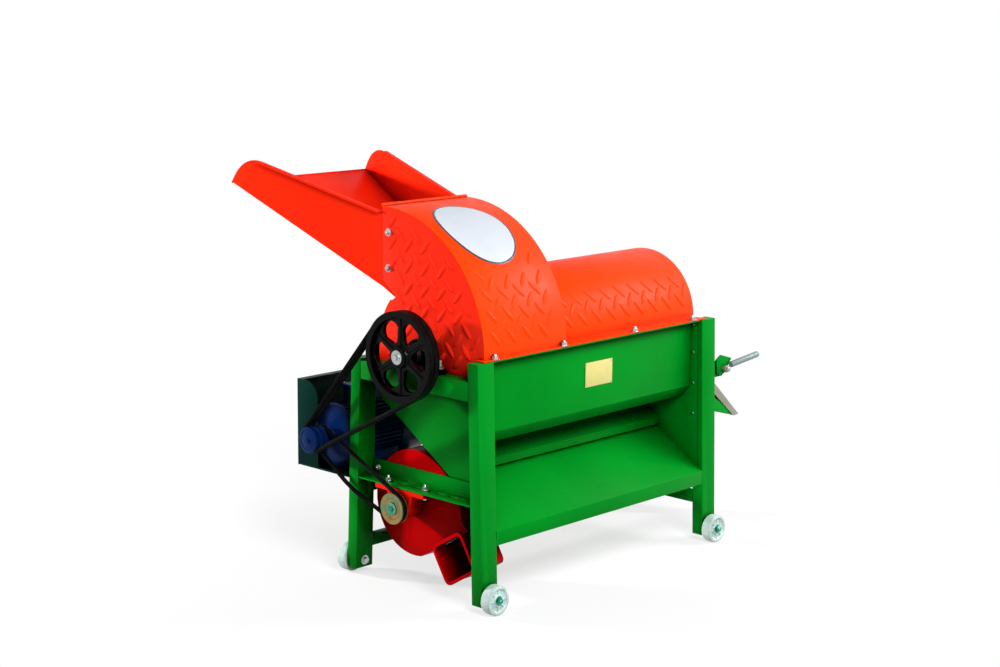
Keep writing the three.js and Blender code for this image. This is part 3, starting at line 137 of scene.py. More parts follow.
class Kit:
    """A new material with its Principled shader, and the nodes that the materials share."""

    def __init__(self, name):
        self.mat = bpy.data.materials.new(name)
        self.mat.use_nodes = True
        self.tree = self.mat.node_tree
        self.shader = self.tree.nodes["Principled BSDF"]
        self.place = self.add("TexCoord").outputs["Object"]

    def add(self, kind, inputs=None, **settings):
        return add_node(self.tree, kind, inputs, **settings)

    def noise(self, scale, detail=2.0, rough=0.5):
        inputs = {"Scale": scale, "Detail": detail, "Roughness": rough, "Vector": self.place}
        return self.add("TexNoise", inputs).outputs["Fac"]

    def ramp(self, fac, stops):
        node = self.add("ValToRGB", {"Fac": fac})
        marks = node.color_ramp.elements
        for k, (pos, col) in ((0, stops[0]), (1, stops[-1])):
            marks[k].position = pos
            marks[k].color = rgba(col)
        for pos, col in stops[1:-1]:
            marks.new(pos).color = rgba(col)
        return node.outputs["Color"]

    def drift(self, noise, col, vary, low=NOISE_LOW, high=NOISE_HIGH):
        """The colour, a share darker where the noise is low and a share lighter where it is high."""
        return self.ramp(noise, [(low, shade(col, 1 - vary)), (high, shade(col, 1 + vary))])

    def spread(self, noise, low, high):
        ends = {"From Min": NOISE_LOW, "From Max": NOISE_HIGH, "To Min": low, "To Max": high}
        return self.add("MapRange", {"Value": noise, **ends}).outputs["Result"]

    def mix(self, a, b, fac, mode="MIX"):
        a, b = [rgba(v) if isinstance(v, tuple) else v for v in (a, b)]
        return self.add("Mix", {0: fac, 6: a, 7: b}, data_type="RGBA", blend_type=mode).outputs[2]

    def bump(self, height, strength, distance, after=None):
        inputs = {"Height": height, "Strength": strength, "Distance": distance}
        if after is not None:
            inputs["Normal"] = after
        return self.add("Bump", inputs).outputs["Normal"]

    def done(self, inputs):
        feed(self.tree, self.shader, inputs)
        return self.mat


def paint(name, col, rough, spec, coat, vary=0.12, peel=0.12, dusty=0.012, shade_reach=0.25):
    """Sprayed paint: slow drift of tone, orange peel, patchy gloss, a little dust, and painted shade that darkens
    crevices, recesses and gaps between parts.
    """
    kit = Kit(name)
    specks = kit.ramp(kit.noise(260.0, 4.0, 0.7), [(0.62, BLACK), (0.8, WHITE)])
    dust = kit.add("Math", {0: specks, 1: dusty}, operation="MULTIPLY").outputs[0]
    tone = kit.mix(kit.drift(kit.noise(3.5, 3.0), col, vary), DUST, dust)
    # Painted shade: ambient occlusion darkens the paint in crevices, recesses and gaps between parts, towards a deep
    # tint of its own hue, as far as the reach.
    shade_occlusion = kit.add("AmbientOcclusion", {"Distance": shade_reach}, samples=CREVICE_SAMPLES).outputs["AO"]
    hue = shade(col, 1 / max(col))
    half = tuple(0.6 * (0.35 + 0.65 * c) for c in hue)
    painted_shade = kit.ramp(shade_occlusion, [(0.2, shade(hue, 0.05)), (0.5, half), (0.74, WHITE)])
    fine = kit.bump(kit.noise(420.0, 2.0), peel, 0.0006)
    return kit.done({
        "Base Color": kit.mix(tone, painted_shade, 1.0, "MULTIPLY"),
        "Roughness": kit.spread(kit.noise(24.0, 4.0, 0.6), rough - 0.05, rough + 0.08),
        "Normal": kit.bump(kit.noise(7.0, 1.0), 0.1, 0.003, fine),
        "Specular IOR Level": spec, "Coat Weight": coat, "Coat Roughness": COAT_ROUGH,
    })


def metal(name, col, rough, vary=0.2, stain=None, stain_amount=0.0, metallic=1.0, ripple=0.1):
    """Machined or plated metal: fine grain, cloudy tone and an optional stain."""
    kit = Kit(name)
    tone = kit.drift(kit.noise(30.0, 4.0, 0.6), col, vary)
    if stain:
        where = kit.ramp(kit.noise(14.0, 5.0, 0.65), [(0.48, BLACK), (0.62, (stain_amount,) * 3)])
        tone = kit.mix(tone, stain, where)
    return kit.done({
        "Base Color": tone,
        "Roughness": kit.spread(kit.noise(90.0, 3.0), rough - 0.08, rough + 0.1),
        "Normal": kit.bump(kit.noise(540.0, 2.0), ripple, 0.0004),
        "Metallic": metallic,
    })


def hammered(name, col, rough):
    """Hammered paint: small rounded cells, lighter in the middle, over a slow change of tone."""
    kit = Kit(name)
    cells = kit.add("TexVoronoi", {"Scale": HAMMER_CELLS, "Vector": kit.place}).outputs["Distance"]
    tone = kit.ramp(cells, [(0.1, shade(col, 1.35)), (0.6, shade(col, 0.75))])
    slow = kit.ramp(kit.noise(9.0, 3.0), [(NOISE_LOW, shade(WHITE, 0.75)), (NOISE_HIGH, WHITE)])
    return kit.done({
        "Base Color": kit.mix(tone, slow, 1.0, "MULTIPLY"),
        "Roughness": kit.spread(kit.noise(60.0, 3.0), rough - 0.06, rough + 0.1),
        "Normal": kit.bump(cells, 0.35, 0.0008),
        "Specular IOR Level": 0.06, "Coat Weight": 0.01,
    })


def plastic(name, col, rough, vary, sub=0.0, ripple=0.08):
    """Smooth plastic or film: faint clouds of tone and a fine grain."""
    kit = Kit(name)
    return kit.done({
        "Base Color": kit.drift(kit.noise(22.0, 4.0, 0.6), col, vary, 0.35, 0.65),
        "Roughness": kit.spread(kit.noise(70.0, 3.0), rough - 0.07, rough + 0.1),
        "Normal": kit.bump(kit.noise(300.0, 3.0), ripple, 0.0005),
        "Subsurface Weight": sub,
    })


def belt_rubber(name, col, spec):
    """Black rubber with a faint woven wrap and chalky wear."""
    kit = Kit(name)
    return kit.done({
        "Base Color": kit.ramp(kit.noise(40.0, 5.0, 0.7), [(0.45, col), (0.75, CHALK)]),
        "Roughness": kit.spread(kit.noise(80.0, 3.0), 0.36, 0.55),
        "Normal": kit.bump(kit.noise(900.0, 2.0), 0.25, 0.0005),
        "Specular IOR Level": spec,
    })


# The reach in each paint sets how far its painted shade in crevices and gaps spreads, in metres.
LOOKS = {
    "green_paint": (paint, (0.0, 0.235, 0.014), dict(rough=0.3, spec=0.03, coat=0.0, dusty=0.004)),
    "orange_paint": (paint, (1.0, 0.05, 0.002), dict(rough=0.38, vary=0.05, spec=0.05, coat=0.01, shade_reach=0.05)),
    "red_paint": (paint, (1.0, 0.022, 0.004), dict(rough=0.34, vary=0.06, spec=0.02, coat=0.0, shade_reach=0.16)),
    "side_paint": (paint, (1.0, 0.022, 0.006), dict(rough=0.34, vary=0.05, spec=0.07, coat=0.02, shade_reach=0.08)),
    "dark_red_paint": (paint, (0.55, 0.0, 0.001), dict(rough=0.3, vary=0.14, spec=0.02, coat=0.0)),
    "bright_red_paint": (paint, (1.0, 0.01, 0.0), dict(rough=0.3, vary=0.06, spec=0.08, coat=0.02)),
    "blue_paint": (hammered, (0.001, 0.017, 0.1), dict(rough=0.3)),
    "teal_paint": (paint, (0.001, 0.02, 0.016), dict(rough=0.36, vary=0.2, spec=0.04, coat=0.0)),
    "black_paint": (paint, (0.001, 0.0012, 0.0014), dict(rough=0.17, vary=0.3, peel=0.15, spec=0.07, coat=0.0)),
    "rubber": (belt_rubber, (0.003, 0.003, 0.003), dict(spec=0.03)),
    "zinc": (metal, (0.46, 0.49, 0.48), dict(rough=0.28)),
    "yellow_zinc": (metal, (0.36, 0.22, 0.08),
                    dict(rough=0.42, vary=0.3, stain=(0.12, 0.26, 0.13), stain_amount=0.8)),
    "rod_steel": (metal, (0.2, 0.27, 0.26), dict(rough=0.5, vary=0.05, metallic=0.2, ripple=0.01)),
    "steel": (metal, (0.3, 0.29, 0.27), dict(rough=0.36, stain=(0.2, 0.1, 0.05), stain_amount=0.25)),
    "nylon": (plastic, (0.52, 0.66, 0.62), dict(rough=0.3, vary=0.16, sub=0.25)),
    "bare_sheet": (metal, (0.34, 0.35, 0.28),
                   dict(rough=0.5, vary=0.12, stain=(0.3, 0.22, 0.14), stain_amount=0.3, metallic=0.55)),
    "white_film": (plastic, (0.56, 0.6, 0.66), dict(rough=0.4, vary=0.03, ripple=0.004)),
    "border_film": (plastic, (0.01, 0.03, 0.06), dict(rough=0.22, vary=0.1)),
    "yellow_plate": (plastic, (0.68, 0.6, 0.2), dict(rough=0.38, vary=0.03, ripple=0.01)),
    "green_nut": (metal, (0.05, 0.3, 0.2), dict(rough=0.3, stain=(0.5, 0.5, 0.45), stain_amount=0.5)),
}
M = {name: make(name, col, **rest) for name, (make, col, rest) in LOOKS.items()}

# Mesh helpers
WELD_MM = 0.002
MIN_MITRE = 0.3


def new_object(name, bm):
    mesh = bpy.data.meshes.new(name)
    bmesh.ops.recalc_face_normals(bm, faces=bm.faces)
    bm.to_mesh(mesh)
    bm.free()
    return linked(name, mesh)


def from_data(name, verts, faces):
    bm = bmesh.new()
    made = [bm.verts.new(v) for v in verts]
    for f in faces:
        bm.faces.new([made[i] for i in f])
    return new_object(name, bm)


def skin(rows, n, loop_rows, loop_cols):
    """Quads between rows of n points each. Either way may close on itself."""
    faces = []
    for i in range(rows if loop_rows else rows - 1):
        j = (i + 1) % rows
        for k in range(n if loop_cols else n - 1):
            m = (k + 1) % n
            faces.append((i * n + k, i * n + m, j * n + m, j * n + k))
    return faces


def smooth(obj, degrees=35):
    mesh = obj.data
    mesh.polygons.foreach_set("use_smooth", [True] * len(mesh.polygons))
    bm = bmesh.new()
    bm.from_mesh(mesh)
    for e in bm.edges:
        e.smooth = len(e.link_faces) == 2 and e.calc_face_angle(0) < math.radians(degrees)
    bm.to_mesh(mesh)
    bm.free()
    return obj


def welded(obj):
    """Joins the points that lie on one another, as a turned shape has on its axis."""
    bm = bmesh.new()
    bm.from_mesh(obj.data)
    bmesh.ops.remove_doubles(bm, verts=bm.verts, dist=WELD_MM * MM)
    bmesh.ops.recalc_face_normals(bm, faces=bm.faces)
    bm.to_mesh(obj.data)
    bm.free()
    return obj


def bevelled(obj, width_mm, segments=2, degrees=30):
    """Rounds the sharp edges and keeps the result as plain mesh data."""
    mod = obj.modifiers.new("round", "BEVEL")
    mod.width = width_mm * MM
    mod.segments = segments
    mod.limit_method = "ANGLE"
    mod.angle_limit = math.radians(degrees)
    deps = bpy.context.evaluated_depsgraph_get()
    mesh = bpy.data.meshes.new_from_object(obj.evaluated_get(deps))
    obj.modifiers.clear()
    obj.data = mesh
    return smooth(obj)


def colour(obj, key):
    obj.data.materials.clear()
    obj.data.materials.append(M[key])
    return obj


def painted(objs, key):
    return [colour(o, key) for o in objs]


def merged(name, objs):
    """One object from several, each keeping its material."""
    mats = []
    bm = bmesh.new()
    for o in objs:
        own = o.data.materials[0]
        if own not in mats:
            mats.append(own)
        before = len(bm.faces)
        bm.from_mesh(o.data)
        bm.faces.ensure_lookup_table()
        for f in bm.faces[before:]:
            f.material_index = mats.index(own)
        bpy.data.objects.remove(o)
    mesh = bpy.data.meshes.new(name)
    bm.to_mesh(mesh)
    bm.free()
    for m in mats:
        mesh.materials.append(m)
    return linked(name, mesh)


def put(obj, body, slot, *replaced):
    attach(obj, body)
    if replaced:
        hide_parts(*replaced)


def loose(name, parts, body=FRAME_BODY, slot="zinc", *replaced):
    put(merged(name, parts), body, slot, *replaced)


def look_of(node, parts):
    """The parts together stand for the node, on its body."""
    loose(node + "_look", parts, body_of[node], slot_of[node], node)


def dress(node, width_mm=0.8, segments=2, degrees=30, key=None):
    """A copy of a solid with rounded edges, standing for the node."""
    bm = bmesh.new()
    bm.from_mesh(nodes[node].data)
    bmesh.ops.remove_doubles(bm, verts=bm.verts, dist=0.02 * MM)
    bmesh.ops.dissolve_limit(bm, angle_limit=math.radians(0.6), verts=bm.verts, edges=bm.edges)
    obj = bevelled(new_object(node + "_look", bm), width_mm, segments, degrees)
    put(colour(obj, key or slot_of[node]), body_of[node], slot_of[node], node)


def lathe(name, profile, steps, centre, degrees=35, axis="x"):
    """A profile of (along, radius) in mm, turned about the line through centre along x or y."""
    closed = profile[0] == profile[-1]
    if closed:
        profile = profile[:-1]
    verts = []
    for i in range(steps):
        a = 2 * math.pi * i / steps
        for along, r in profile:
            c, s = r * math.cos(a), r * math.sin(a)
            p = (along, c, s) if axis == "x" else (s, along, c)
            verts.append(at(centre[0] + p[0], centre[1] + p[1], centre[2] + p[2]))
    faces = skin(steps, len(profile), True, closed)
    return smooth(welded(from_data(name, verts, faces)), degrees)


def arc_points(cu, cv, r, from_deg, to_deg, steps):
    turns = [cos_sin(from_deg + (to_deg - from_deg) * i / steps) for i in range(steps + 1)]
    return [(cu + r * c, cv + r * s) for c, s in turns]


def rect(u0, u1, v0, v1):
    return [(u0, v0), (u1, v0), (u1, v1), (u0, v1)]


def offset_path(path, d):
    """The polyline moved to its left by d, with mitred corners."""
    out = []
    for i, p in enumerate(path):
        a = Vector(path[max(i - 1, 0)])
        b = Vector(path[min(i + 1, len(path) - 1)])
        p = Vector(p)
        din = (p - a).normalized() if i else (b - p).normalized()
        dout = (b - p).normalized() if i < len(path) - 1 else din
        n0, n1 = Vector((-din.y, din.x)), Vector((-dout.y, dout.x))
        m = (n0 + n1).normalized()
        out.append(tuple(p + m * (d / max(m.dot(n0), MIN_MITRE))))
    return out


def strip(name, path, thickness, x0, x1, width_mm=0.8):
    """A bent sheet: a path in (y, z) with thickness to its left, between two x."""
    outer = offset_path(path, thickness)
    n = len(path)
    verts = [at(x, *p) for x in (x0, x1) for p in [*path, *outer]]
    faces = []
    for i in range(n - 1):
        a, b, c, d = i, i + 1, n + i + 1, n + i
        faces.append((a, b, c, d))
        faces.append(tuple(2 * n + k for k in (d, c, b, a)))
        faces.append((a, 2 * n + a, 2 * n + b, b))
        faces.append((d, c, 2 * n + c, 2 * n + d))
    for k in (0, n - 1):
        faces.append((k, n + k, 3 * n + k, 2 * n + k))
    return bevelled(from_data(name, verts, faces), width_mm)


def prism(name, points, lo, hi, axis, width_mm, holes=(), segments=2, degrees=30):
    """A flat shape given a depth: points (y, z) on x, (x, z) on y or (x, y) on z. Holes are cut through."""
    bm = bmesh.new()

    def place(p, t):
        return at(*{"x": (t, p[0], p[1]), "y": (p[0], t, p[1]), "z": (p[0], p[1], t)}[axis])

    if holes:
        edges = []
        for loop in [points, *holes]:
            made = [bm.verts.new(place(p, lo)) for p in loop]
            edges += [bm.edges.new((made[i], made[(i + 1) % len(made)])) for i in range(len(made))]
        bmesh.ops.triangle_fill(bm, use_beauty=True, use_dissolve=False, edges=edges)
    else:
        bm.faces.new([bm.verts.new(place(p, lo)) for p in points])
    grown = bmesh.ops.extrude_face_region(bm, geom=list(bm.faces))
    step = place((0, 0), hi) - place((0, 0), lo)
    bmesh.ops.translate(bm, vec=step, verts=[v for v in grown["geom"] if isinstance(v, bmesh.types.BMVert)])
    if holes:
        bmesh.ops.dissolve_limit(bm, angle_limit=math.radians(0.4), verts=bm.verts, edges=bm.edges)
    return bevelled(new_object(name, bm), width_mm, segments, degrees)


def sweep(name, path, section, closed=False, degrees=40):
    """A section of (side, up) in mm, drawn along a path of (origin, side, up) frames."""
    verts = [origin + side * (u * MM) + up * (v * MM) for origin, side, up in path for u, v in section]
    n, last = len(section), len(path) - 1
    faces = skin(len(path), n, closed, True)
    if not closed:
        faces += [tuple(range(n)), tuple(last * n + k for k in range(n))]
    return smooth(from_data(name, verts, faces), degrees)


def turned_on(name, where, normal, profile, steps, twist=0.0, degrees=35):
    """A profile of (radius, height) in mm, turned about a normal that stands on a point."""
    n = normal.normalized()
    side = Z.cross(n)
    if side.length < 1e-3:
        side = X.cross(n)
    side.normalize()
    up = n.cross(side)
    verts = []
    for i in range(steps):
        a = 2 * math.pi * i / steps + twist
        for r, h in profile:
            verts.append(where + side * (r * math.cos(a) * MM) + up * (r * math.sin(a) * MM) + n * (h * MM))
    faces = skin(steps, len(profile), True, False)
    return smooth(welded(from_data(name, verts, faces)), degrees)


def bolt(where, normal, r, washer=True, stud=0.0, twist=0.3, key="zinc"):
    """A chamfered hexagon with corners at r, a washer, and a stub of thread of length stud."""
    parts = []
    base = -0.3
    if washer:
        flat = [(0.0, base), (r * 1.35, base), (r * 1.42, 0.5), (r * 1.42, 1.2), (r * 1.3, 1.6), (0.0, 1.6)]
        parts.append(turned_on("washer", where, normal, flat, 28))
        base = 1.4
    top = base + r * 0.84
    hexagon = [(0.0, base), (r * 0.98, base), (r, base + 0.4), (r, base + r * 0.72), (r * 0.86, top), (0.0, top)]
    parts.append(turned_on("hexagon", where, normal, hexagon, 6, twist, 20))
    if stud:
        thread = [(r * 0.5, top - 0.2)]
        for k in range(3):
            thread += [(r * 0.5, top + stud * k / 3), (r * 0.44, top + stud * (k + 0.5) / 3)]
        thread += [(r * 0.42, top + stud), (0.0, top + stud)]
        parts.append(turned_on("thread", where, normal, thread, 20))
    return painted(parts, key)


def four_bolts(xs, y, half, z, r, **how):
    """Upright bolts at each x, one on either side of y."""
    return [p for x in xs for side in (-half, half) for p in bolt(at(x, y + side, z), Z, r, **how)]


# Raised bars of checker plate
BAR = {"u": 61.0, "v": 57.0, "length": 52.0, "width": 17.0, "height": 2.9, "steps": 8, "sunk": -0.4}
BAR_RUN, BAR_RISE = 0.64, 0.768
SMOOTH_ABOVE_DEG = 44


def bars_mesh(name, spots):
    """One low lens-shaped bar for each spot: (origin, along, across, normal)."""
    verts, faces = [], []
    steps, sunk = BAR["steps"], BAR["sunk"]
    for origin, along, across, normal in spots:
        base = len(verts)
        for i in range(steps + 1):
            t = -1 + 2 * i / steps
            w = BAR["width"] / 2 * math.sqrt(max(1 - t * t, 0.0))
            h = BAR["height"] * (1 - t ** 4)
            centre = origin + along * (t * BAR["length"] / 2 * MM)
            for share, lift in ((-1.0, sunk), (-0.55, h * 0.8), (0.0, h), (0.55, h * 0.8), (1.0, sunk)):
                verts.append(centre + across * (w * share * MM) + normal * (lift * MM))
        faces += [tuple(base + k for k in f) for f in skin(steps + 1, 5, False, False)]
    mesh = bpy.data.meshes.new(name)
    mesh.from_pydata([tuple(v) for v in verts], [], faces)
    mesh.validate()
    mesh.polygons.foreach_set("use_smooth", [True] * len(mesh.polygons))
    return linked(name, mesh)


def bar_grid(u0, u1, v0, v1, keep, surface):
    """surface(u, v) gives (point, u direction, v direction, normal); keep(u, v) says where a bar may lie."""
    spots = []
    half_u = BAR["length"] / 2 * BAR_RUN
    half_v = BAR["length"] / 2 * BAR_RISE
    rows = int((v1 - v0) / BAR["v"]) + 2
    cols = int((u1 - u0) / BAR["u"]) + 2
    for r in range(rows):
        for c in range(cols):
            for shift, lean in ((0.0, 1.0), (0.5, -1.0)):
                u = u0 + (c + shift) * BAR["u"]
                v = v0 + (r + shift) * BAR["v"]
                ends = [(u - half_u, v - lean * half_v), (u + half_u, v + lean * half_v), (u, v)]
                if not all(u0 <= p[0] <= u1 and v0 <= p[1] <= v1 and keep(*p) for p in ends):
                    continue
                point, du, dv, n = surface(u, v)
                along = (du * BAR_RUN + dv * (lean * BAR_RISE)).normalized()
                spots.append((point, along, n.cross(along), n))
    return spots


# The stand and the other pieces that only need rounded edges
for corner in CORNERS:
    dress("leg_" + corner, 2.4, 3)
for node, width in (
    ("top_rail_front", 1.0), ("top_rail_back", 1.0), ("front_panel", 0.7), ("back_panel", 0.7),
    ("grain_tray", 0.7), ("grain_board", 0.7), ("end_plate_left", 0.8), ("end_plate_right", 0.8),
    ("top_cross_left", 1.2), ("top_cross_right", 1.2), ("fan_bearer", 1.0), ("low_cross_right", 1.0),
    ("low_rail_back", 1.0), ("motor_rail", 1.0), ("motor_plate", 1.4), ("cob_chute", 0.7),
    ("gate_bracket", 1.0), ("gate_flap", 0.7), ("gate_lever", 1.2), ("concave_screen", 0.5),
    ("fan_casing", 0.8), ("fan_impeller", 0.6), ("drum_rotor", 0.8), ("motor_guard", 0.6),
):
    dress(node, width)
for node, key in (("drum_bearing_left", None), ("drum_bearing_right", None), ("fan_bearing", "bright_red_paint")):
    dress(node, 2.6, 3, 34, key)

# Hood, drum cover and side plates. Measures here and below are mm of the drawing, as the solids have them.
DRUM = (0, -5, 651)
HOOD = {"y": 152.3, "z": 654.0, "r": 367.0, "edge": 161.3, "x0": -449.5, "x1": -132.5, "t": 3.0}
HOOD_TAIL = {"x0": -465.5, "x1": -446.5, "y1": -193}
COVER = {"y": -5.0, "z": 657.0, "r": 182.0, "x0": -132.2, "x1": 454.5, "t": 3.0, "rear_x0": -446.2}
HEM_R, HEM_CHAMFER = 5, 0.8
FLANGE_Y, FLANGE_Z = 229.5, 655.3
HOOD_IN = HOOD["r"] - HOOD["t"]
COVER_IN = COVER["r"] - COVER["t"]
BADGE = {"x": -302, "deg": 58.5, "half_x": 112, "half_deg": 20.0, "clear_x": 128, "clear_deg": 23.5}
SHAFT_CLEAR_R = 26
BAR_FREE = 26  # width of the strip without bars along a sheet's foot


def round_surface(shape):
    """u runs along x from the shape's left end, v up the arc from the front foot."""
    def surface(u, v):
        a = math.pi - v / shape["r"]
        n = Vector((0, math.cos(a), math.sin(a)))
        up = Vector((0, math.sin(a), -math.cos(a)))
        p = at(shape["x0"] + u, shape["y"] + shape["r"] * math.cos(a), shape["z"] + shape["r"] * math.sin(a))
        return p, X, up, n
    return surface


def hood_piece():
    x0, x1, top = HOOD["x0"], HOOD["x1"], HOOD["z"] + HOOD_IN
    path = [(-FLANGE_Y, FLANGE_Z), (HOOD["y"] - HOOD_IN, FLANGE_Z)]
    path += arc_points(HOOD["y"], HOOD["z"], HOOD_IN, 178.2, 90, 72) + [(HOOD["edge"], top)]
    shell = strip("hood_shell", path, HOOD["t"], x0, x1)
    tail_points = rect(HOOD_TAIL["x0"], HOOD_TAIL["x1"], -FLANGE_Y, HOOD_TAIL["y1"])
    tail = prism("hood_tail", tail_points, FLANGE_Z, FLANGE_Z + HOOD["t"], "z", 0.8)
    slim = HEM_R - HEM_CHAMFER
    rod = [(x0, 0), (x0, slim), (x0 + HEM_CHAMFER, HEM_R), (x1 - HEM_CHAMFER, HEM_R), (x1, slim), (x1, 0)]
    hem = lathe("hood_hem", rod, 28, (0, HOOD["edge"], top + HEM_R))

    def clear_of_badge(u, v):
        a = math.degrees(v / HOOD["r"])
        du, da = (u + x0 - BADGE["x"]) / BADGE["clear_x"], (a - BADGE["deg"]) / BADGE["clear_deg"]
        return a < SMOOTH_ABOVE_DEG and du ** 2 + da ** 2 > 1
    bars = bars_mesh("hood_bars", bar_grid(14, 304, BAR_FREE, 560, clear_of_badge, round_surface(HOOD)))
    return painted((shell, tail, hem, bars), "orange_paint")


look_of("hood", hood_piece())


def cover_piece():
    y, z, x0, x1 = COVER["y"], COVER["z"], COVER["x0"], COVER["x1"]
    back_foot = [(y + COVER_IN, FLANGE_Z), (FLANGE_Y, FLANGE_Z)]
    path = [(-FLANGE_Y, FLANGE_Z), (y - COVER_IN, FLANGE_Z)] + arc_points(y, z, COVER_IN, 176.5, 3.5, 96) + back_foot
    shell = strip("cover_shell", path, COVER["t"], x0, x1)
    back = arc_points(y, z, COVER_IN, 39.0, 3.5, 24) + back_foot
    rear = strip("cover_rear", back, COVER["t"], COVER["rear_x0"], x0 + 0.2)
    middle = COVER["r"] - COVER["t"] / 2
    wall = arc_points(y, z, middle, 0, 180, 64) + [(y - middle, FLANGE_Z), (DRUM[1] - SHAFT_CLEAR_R, FLANGE_Z)]
    wall += arc_points(DRUM[1], DRUM[2], SHAFT_CLEAR_R, 170, 10, 20)
    wall += [(DRUM[1] + SHAFT_CLEAR_R, FLANGE_Z), (y + middle, FLANGE_Z)]
    end = prism("cover_end", wall, x1 - COVER["t"], x1 + 0.4, "x", 0.5)
    arc = math.pi * COVER["r"]

    def low(u, v):
        return min(v, arc - v) < math.radians(SMOOTH_ABOVE_DEG) * COVER["r"]
    bars = bars_mesh("cover_bars", bar_grid(12, x1 - x0 - 8, BAR_FREE, arc - BAR_FREE, low, round_surface(COVER)))
    return painted((shell, rear, end, bars), "orange_paint")


look_of("drum_cover", cover_piece())

SIDE_R = HOOD_IN - 0.3
SIDE_FOOT = 658.6
SIDE_T = 3.0
SKIRT = {"front": -192.7, "back": 173.7, "z": 605.3}
BACK_EDGE = [(HOOD["edge"], 825.4), (111, 783)]
SIDE_GRID = (-215, 605)  # the (y, z) that the bars' grid is counted from
SIDE_BOLT_Y, SIDE_BOLT_Z = 139, (953, 857)
SHAFT_HOLE = arc_points(DRUM[1], DRUM[2], SHAFT_CLEAR_R, 0, 360, 32)[:-1]


def side_outline(left):
    start = 180 - math.degrees(math.asin((SIDE_FOOT + 0.4 - HOOD["z"]) / SIDE_R))
    pts = [(HOOD["y"] - SIDE_R + 0.3, SIDE_FOOT)] + arc_points(HOOD["y"], HOOD["z"], SIDE_R, start, 90, 72)
    pts += [(HOOD["edge"], HOOD["z"] + SIDE_R), *BACK_EDGE]
    if left:
        pts += arc_points(COVER["y"], COVER["z"], COVER_IN - 0.3, 36.5, 2.5, 20)
        pts += [(SKIRT["back"], SKIRT["z"]), (SKIRT["front"], SKIRT["z"]), (SKIRT["front"], SIDE_FOOT)]
    else:
        pts += arc_points(COVER["y"], COVER["z"], COVER["r"] + 0.4, 49, 179, 60)
    return pts


def inside_side(y, z, left):
    """Whether a bar's point is on the plate, clear of its edges, bolts and shaft hole."""
    foot = SKIRT["z"] + 8 if left and y > SKIRT["front"] + 8 else SIDE_FOOT + 9
    if z < foot or y > 151 or (y > 118 and 660 < z < 800):
        return False
    if math.hypot(y - HOOD["y"], z - HOOD["z"]) > SIDE_R - 7:
        return False
    drum = math.hypot(y - COVER["y"], z - COVER["z"])
    if not left:
        return drum > COVER["r"] + 10
    bolted = any(math.hypot(y - SIDE_BOLT_Y, z - bz) < 8 for bz in SIDE_BOLT_Z)
    at_shaft = math.hypot(y - DRUM[1], z - DRUM[2]) <= SHAFT_CLEAR_R + 8
    return not (bolted or at_shaft or (y > 60 and 660 < z < 790 and drum > 168))


def side_piece(left):
    x0 = HOOD["x0"] if left else HOOD["x1"] - SIDE_T
    face, out = (x0, -X) if left else (x0 + SIDE_T, X)
    sheet = prism("side_sheet", side_outline(left), x0, x0 + SIDE_T, "x", 0.8, [SHAFT_HOLE] if left else ())

    def surface(u, v):
        return at(face, u + SIDE_GRID[0], v + SIDE_GRID[1]), Y, Z, out

    def keep(u, v):
        return inside_side(u + SIDE_GRID[0], v + SIDE_GRID[1], left)
    return painted((sheet, bars_mesh("side_bars", bar_grid(4, 372, 6, 410, keep, surface))), "side_paint")


look_of("hood_side_left", side_piece(True))
look_of("hood_side_right", side_piece(False))

# The hopper: two flared walls with curved mouths and hemmed tops, on a sloping floor
HOP = {"x": -291.0, "half": 155.2, "flare": 98.0, "y0": 112, "bend": 164, "y1": 670, "t": 2.5}
FLOOR_FROM, FLOOR_TO = (116, 781), (670, 1051)
TOP_FROM, TOP_TO = (170, 1006), (570, 1114)
MOUTH_PULL = (634, 1126)  # the middle point that draws the mouth's curve
MOUTH_STEPS = 16
LIP_R = 3.2


def slope(start, end, t):
    return start[1] + (end[1] - start[1]) / (end[0] - start[0]) * (t - start[0])


def hopper_half(y):
    return HOP["half"] + max(y - HOP["bend"], 0) * HOP["flare"] / (HOP["y1"] - HOP["bend"])


def wall_loop():
    """The wall's outline in (y, z), with the mouth's curve."""
    mouth = []
    for i in range(MOUTH_STEPS + 1):
        t = i / MOUTH_STEPS
        a, b, c = (1 - t) ** 2, 2 * t * (1 - t), t * t
        mouth.append(tuple(a * FLOOR_TO[k] + b * MOUTH_PULL[k] + c * TOP_TO[k] for k in (0, 1)))
    bottom = [(y, slope(FLOOR_FROM, FLOOR_TO, y)) for y in (HOP["y0"], HOP["bend"], 300, 450, 560, 640)]
    top = [(y, slope(TOP_FROM, TOP_TO, y)) for y in (450, 300, HOP["bend"], HOP["y0"])]
    return bottom + mouth + top


def hopper_wall(side):
    loop = wall_loop()
    n = len(loop)
    bm = bmesh.new()
    made = []
    for inset in (0.0, HOP["t"]):
        made += [bm.verts.new(at(HOP["x"] + side * (hopper_half(y) - inset), y, z)) for y, z in loop]
    for base in (0, n):
        for k in range(4):
            bm.faces.new([made[base + q] for q in (k, k + 1, n - 2 - k, n - 1 - k)])
        bm.faces.new([made[base + k] for k in range(4, n - 4)])
    for k in range(n):
        m = (k + 1) % n
        bm.faces.new([made[k], made[m], made[n + m], made[n + k]])
    return bevelled(new_object("hopper_wall", bm), 0.7, 2, 40)


def hopper_hem(side):
    """The band folded outward along the straight top edge."""
    up = Vector((0, TOP_FROM[1] - TOP_TO[1], TOP_TO[0] - TOP_FROM[0])).normalized()
    path = [(at(HOP["x"] + side * hopper_half(y), y, slope(TOP_FROM, TOP_TO, y)), X * side, up)
            for y in (167, 300, 450, 569)]
    fold = [(-2.5, 0.5), (10.8, 0.5), (12.2, -0.8), (12.2, -4.4), (11.0, -5.4),
            (9.8, -4.4), (9.6, -2.0), (0.2, -2.0), (-2.5, -2.2)]
    return sweep("hopper_hem", path, fold)


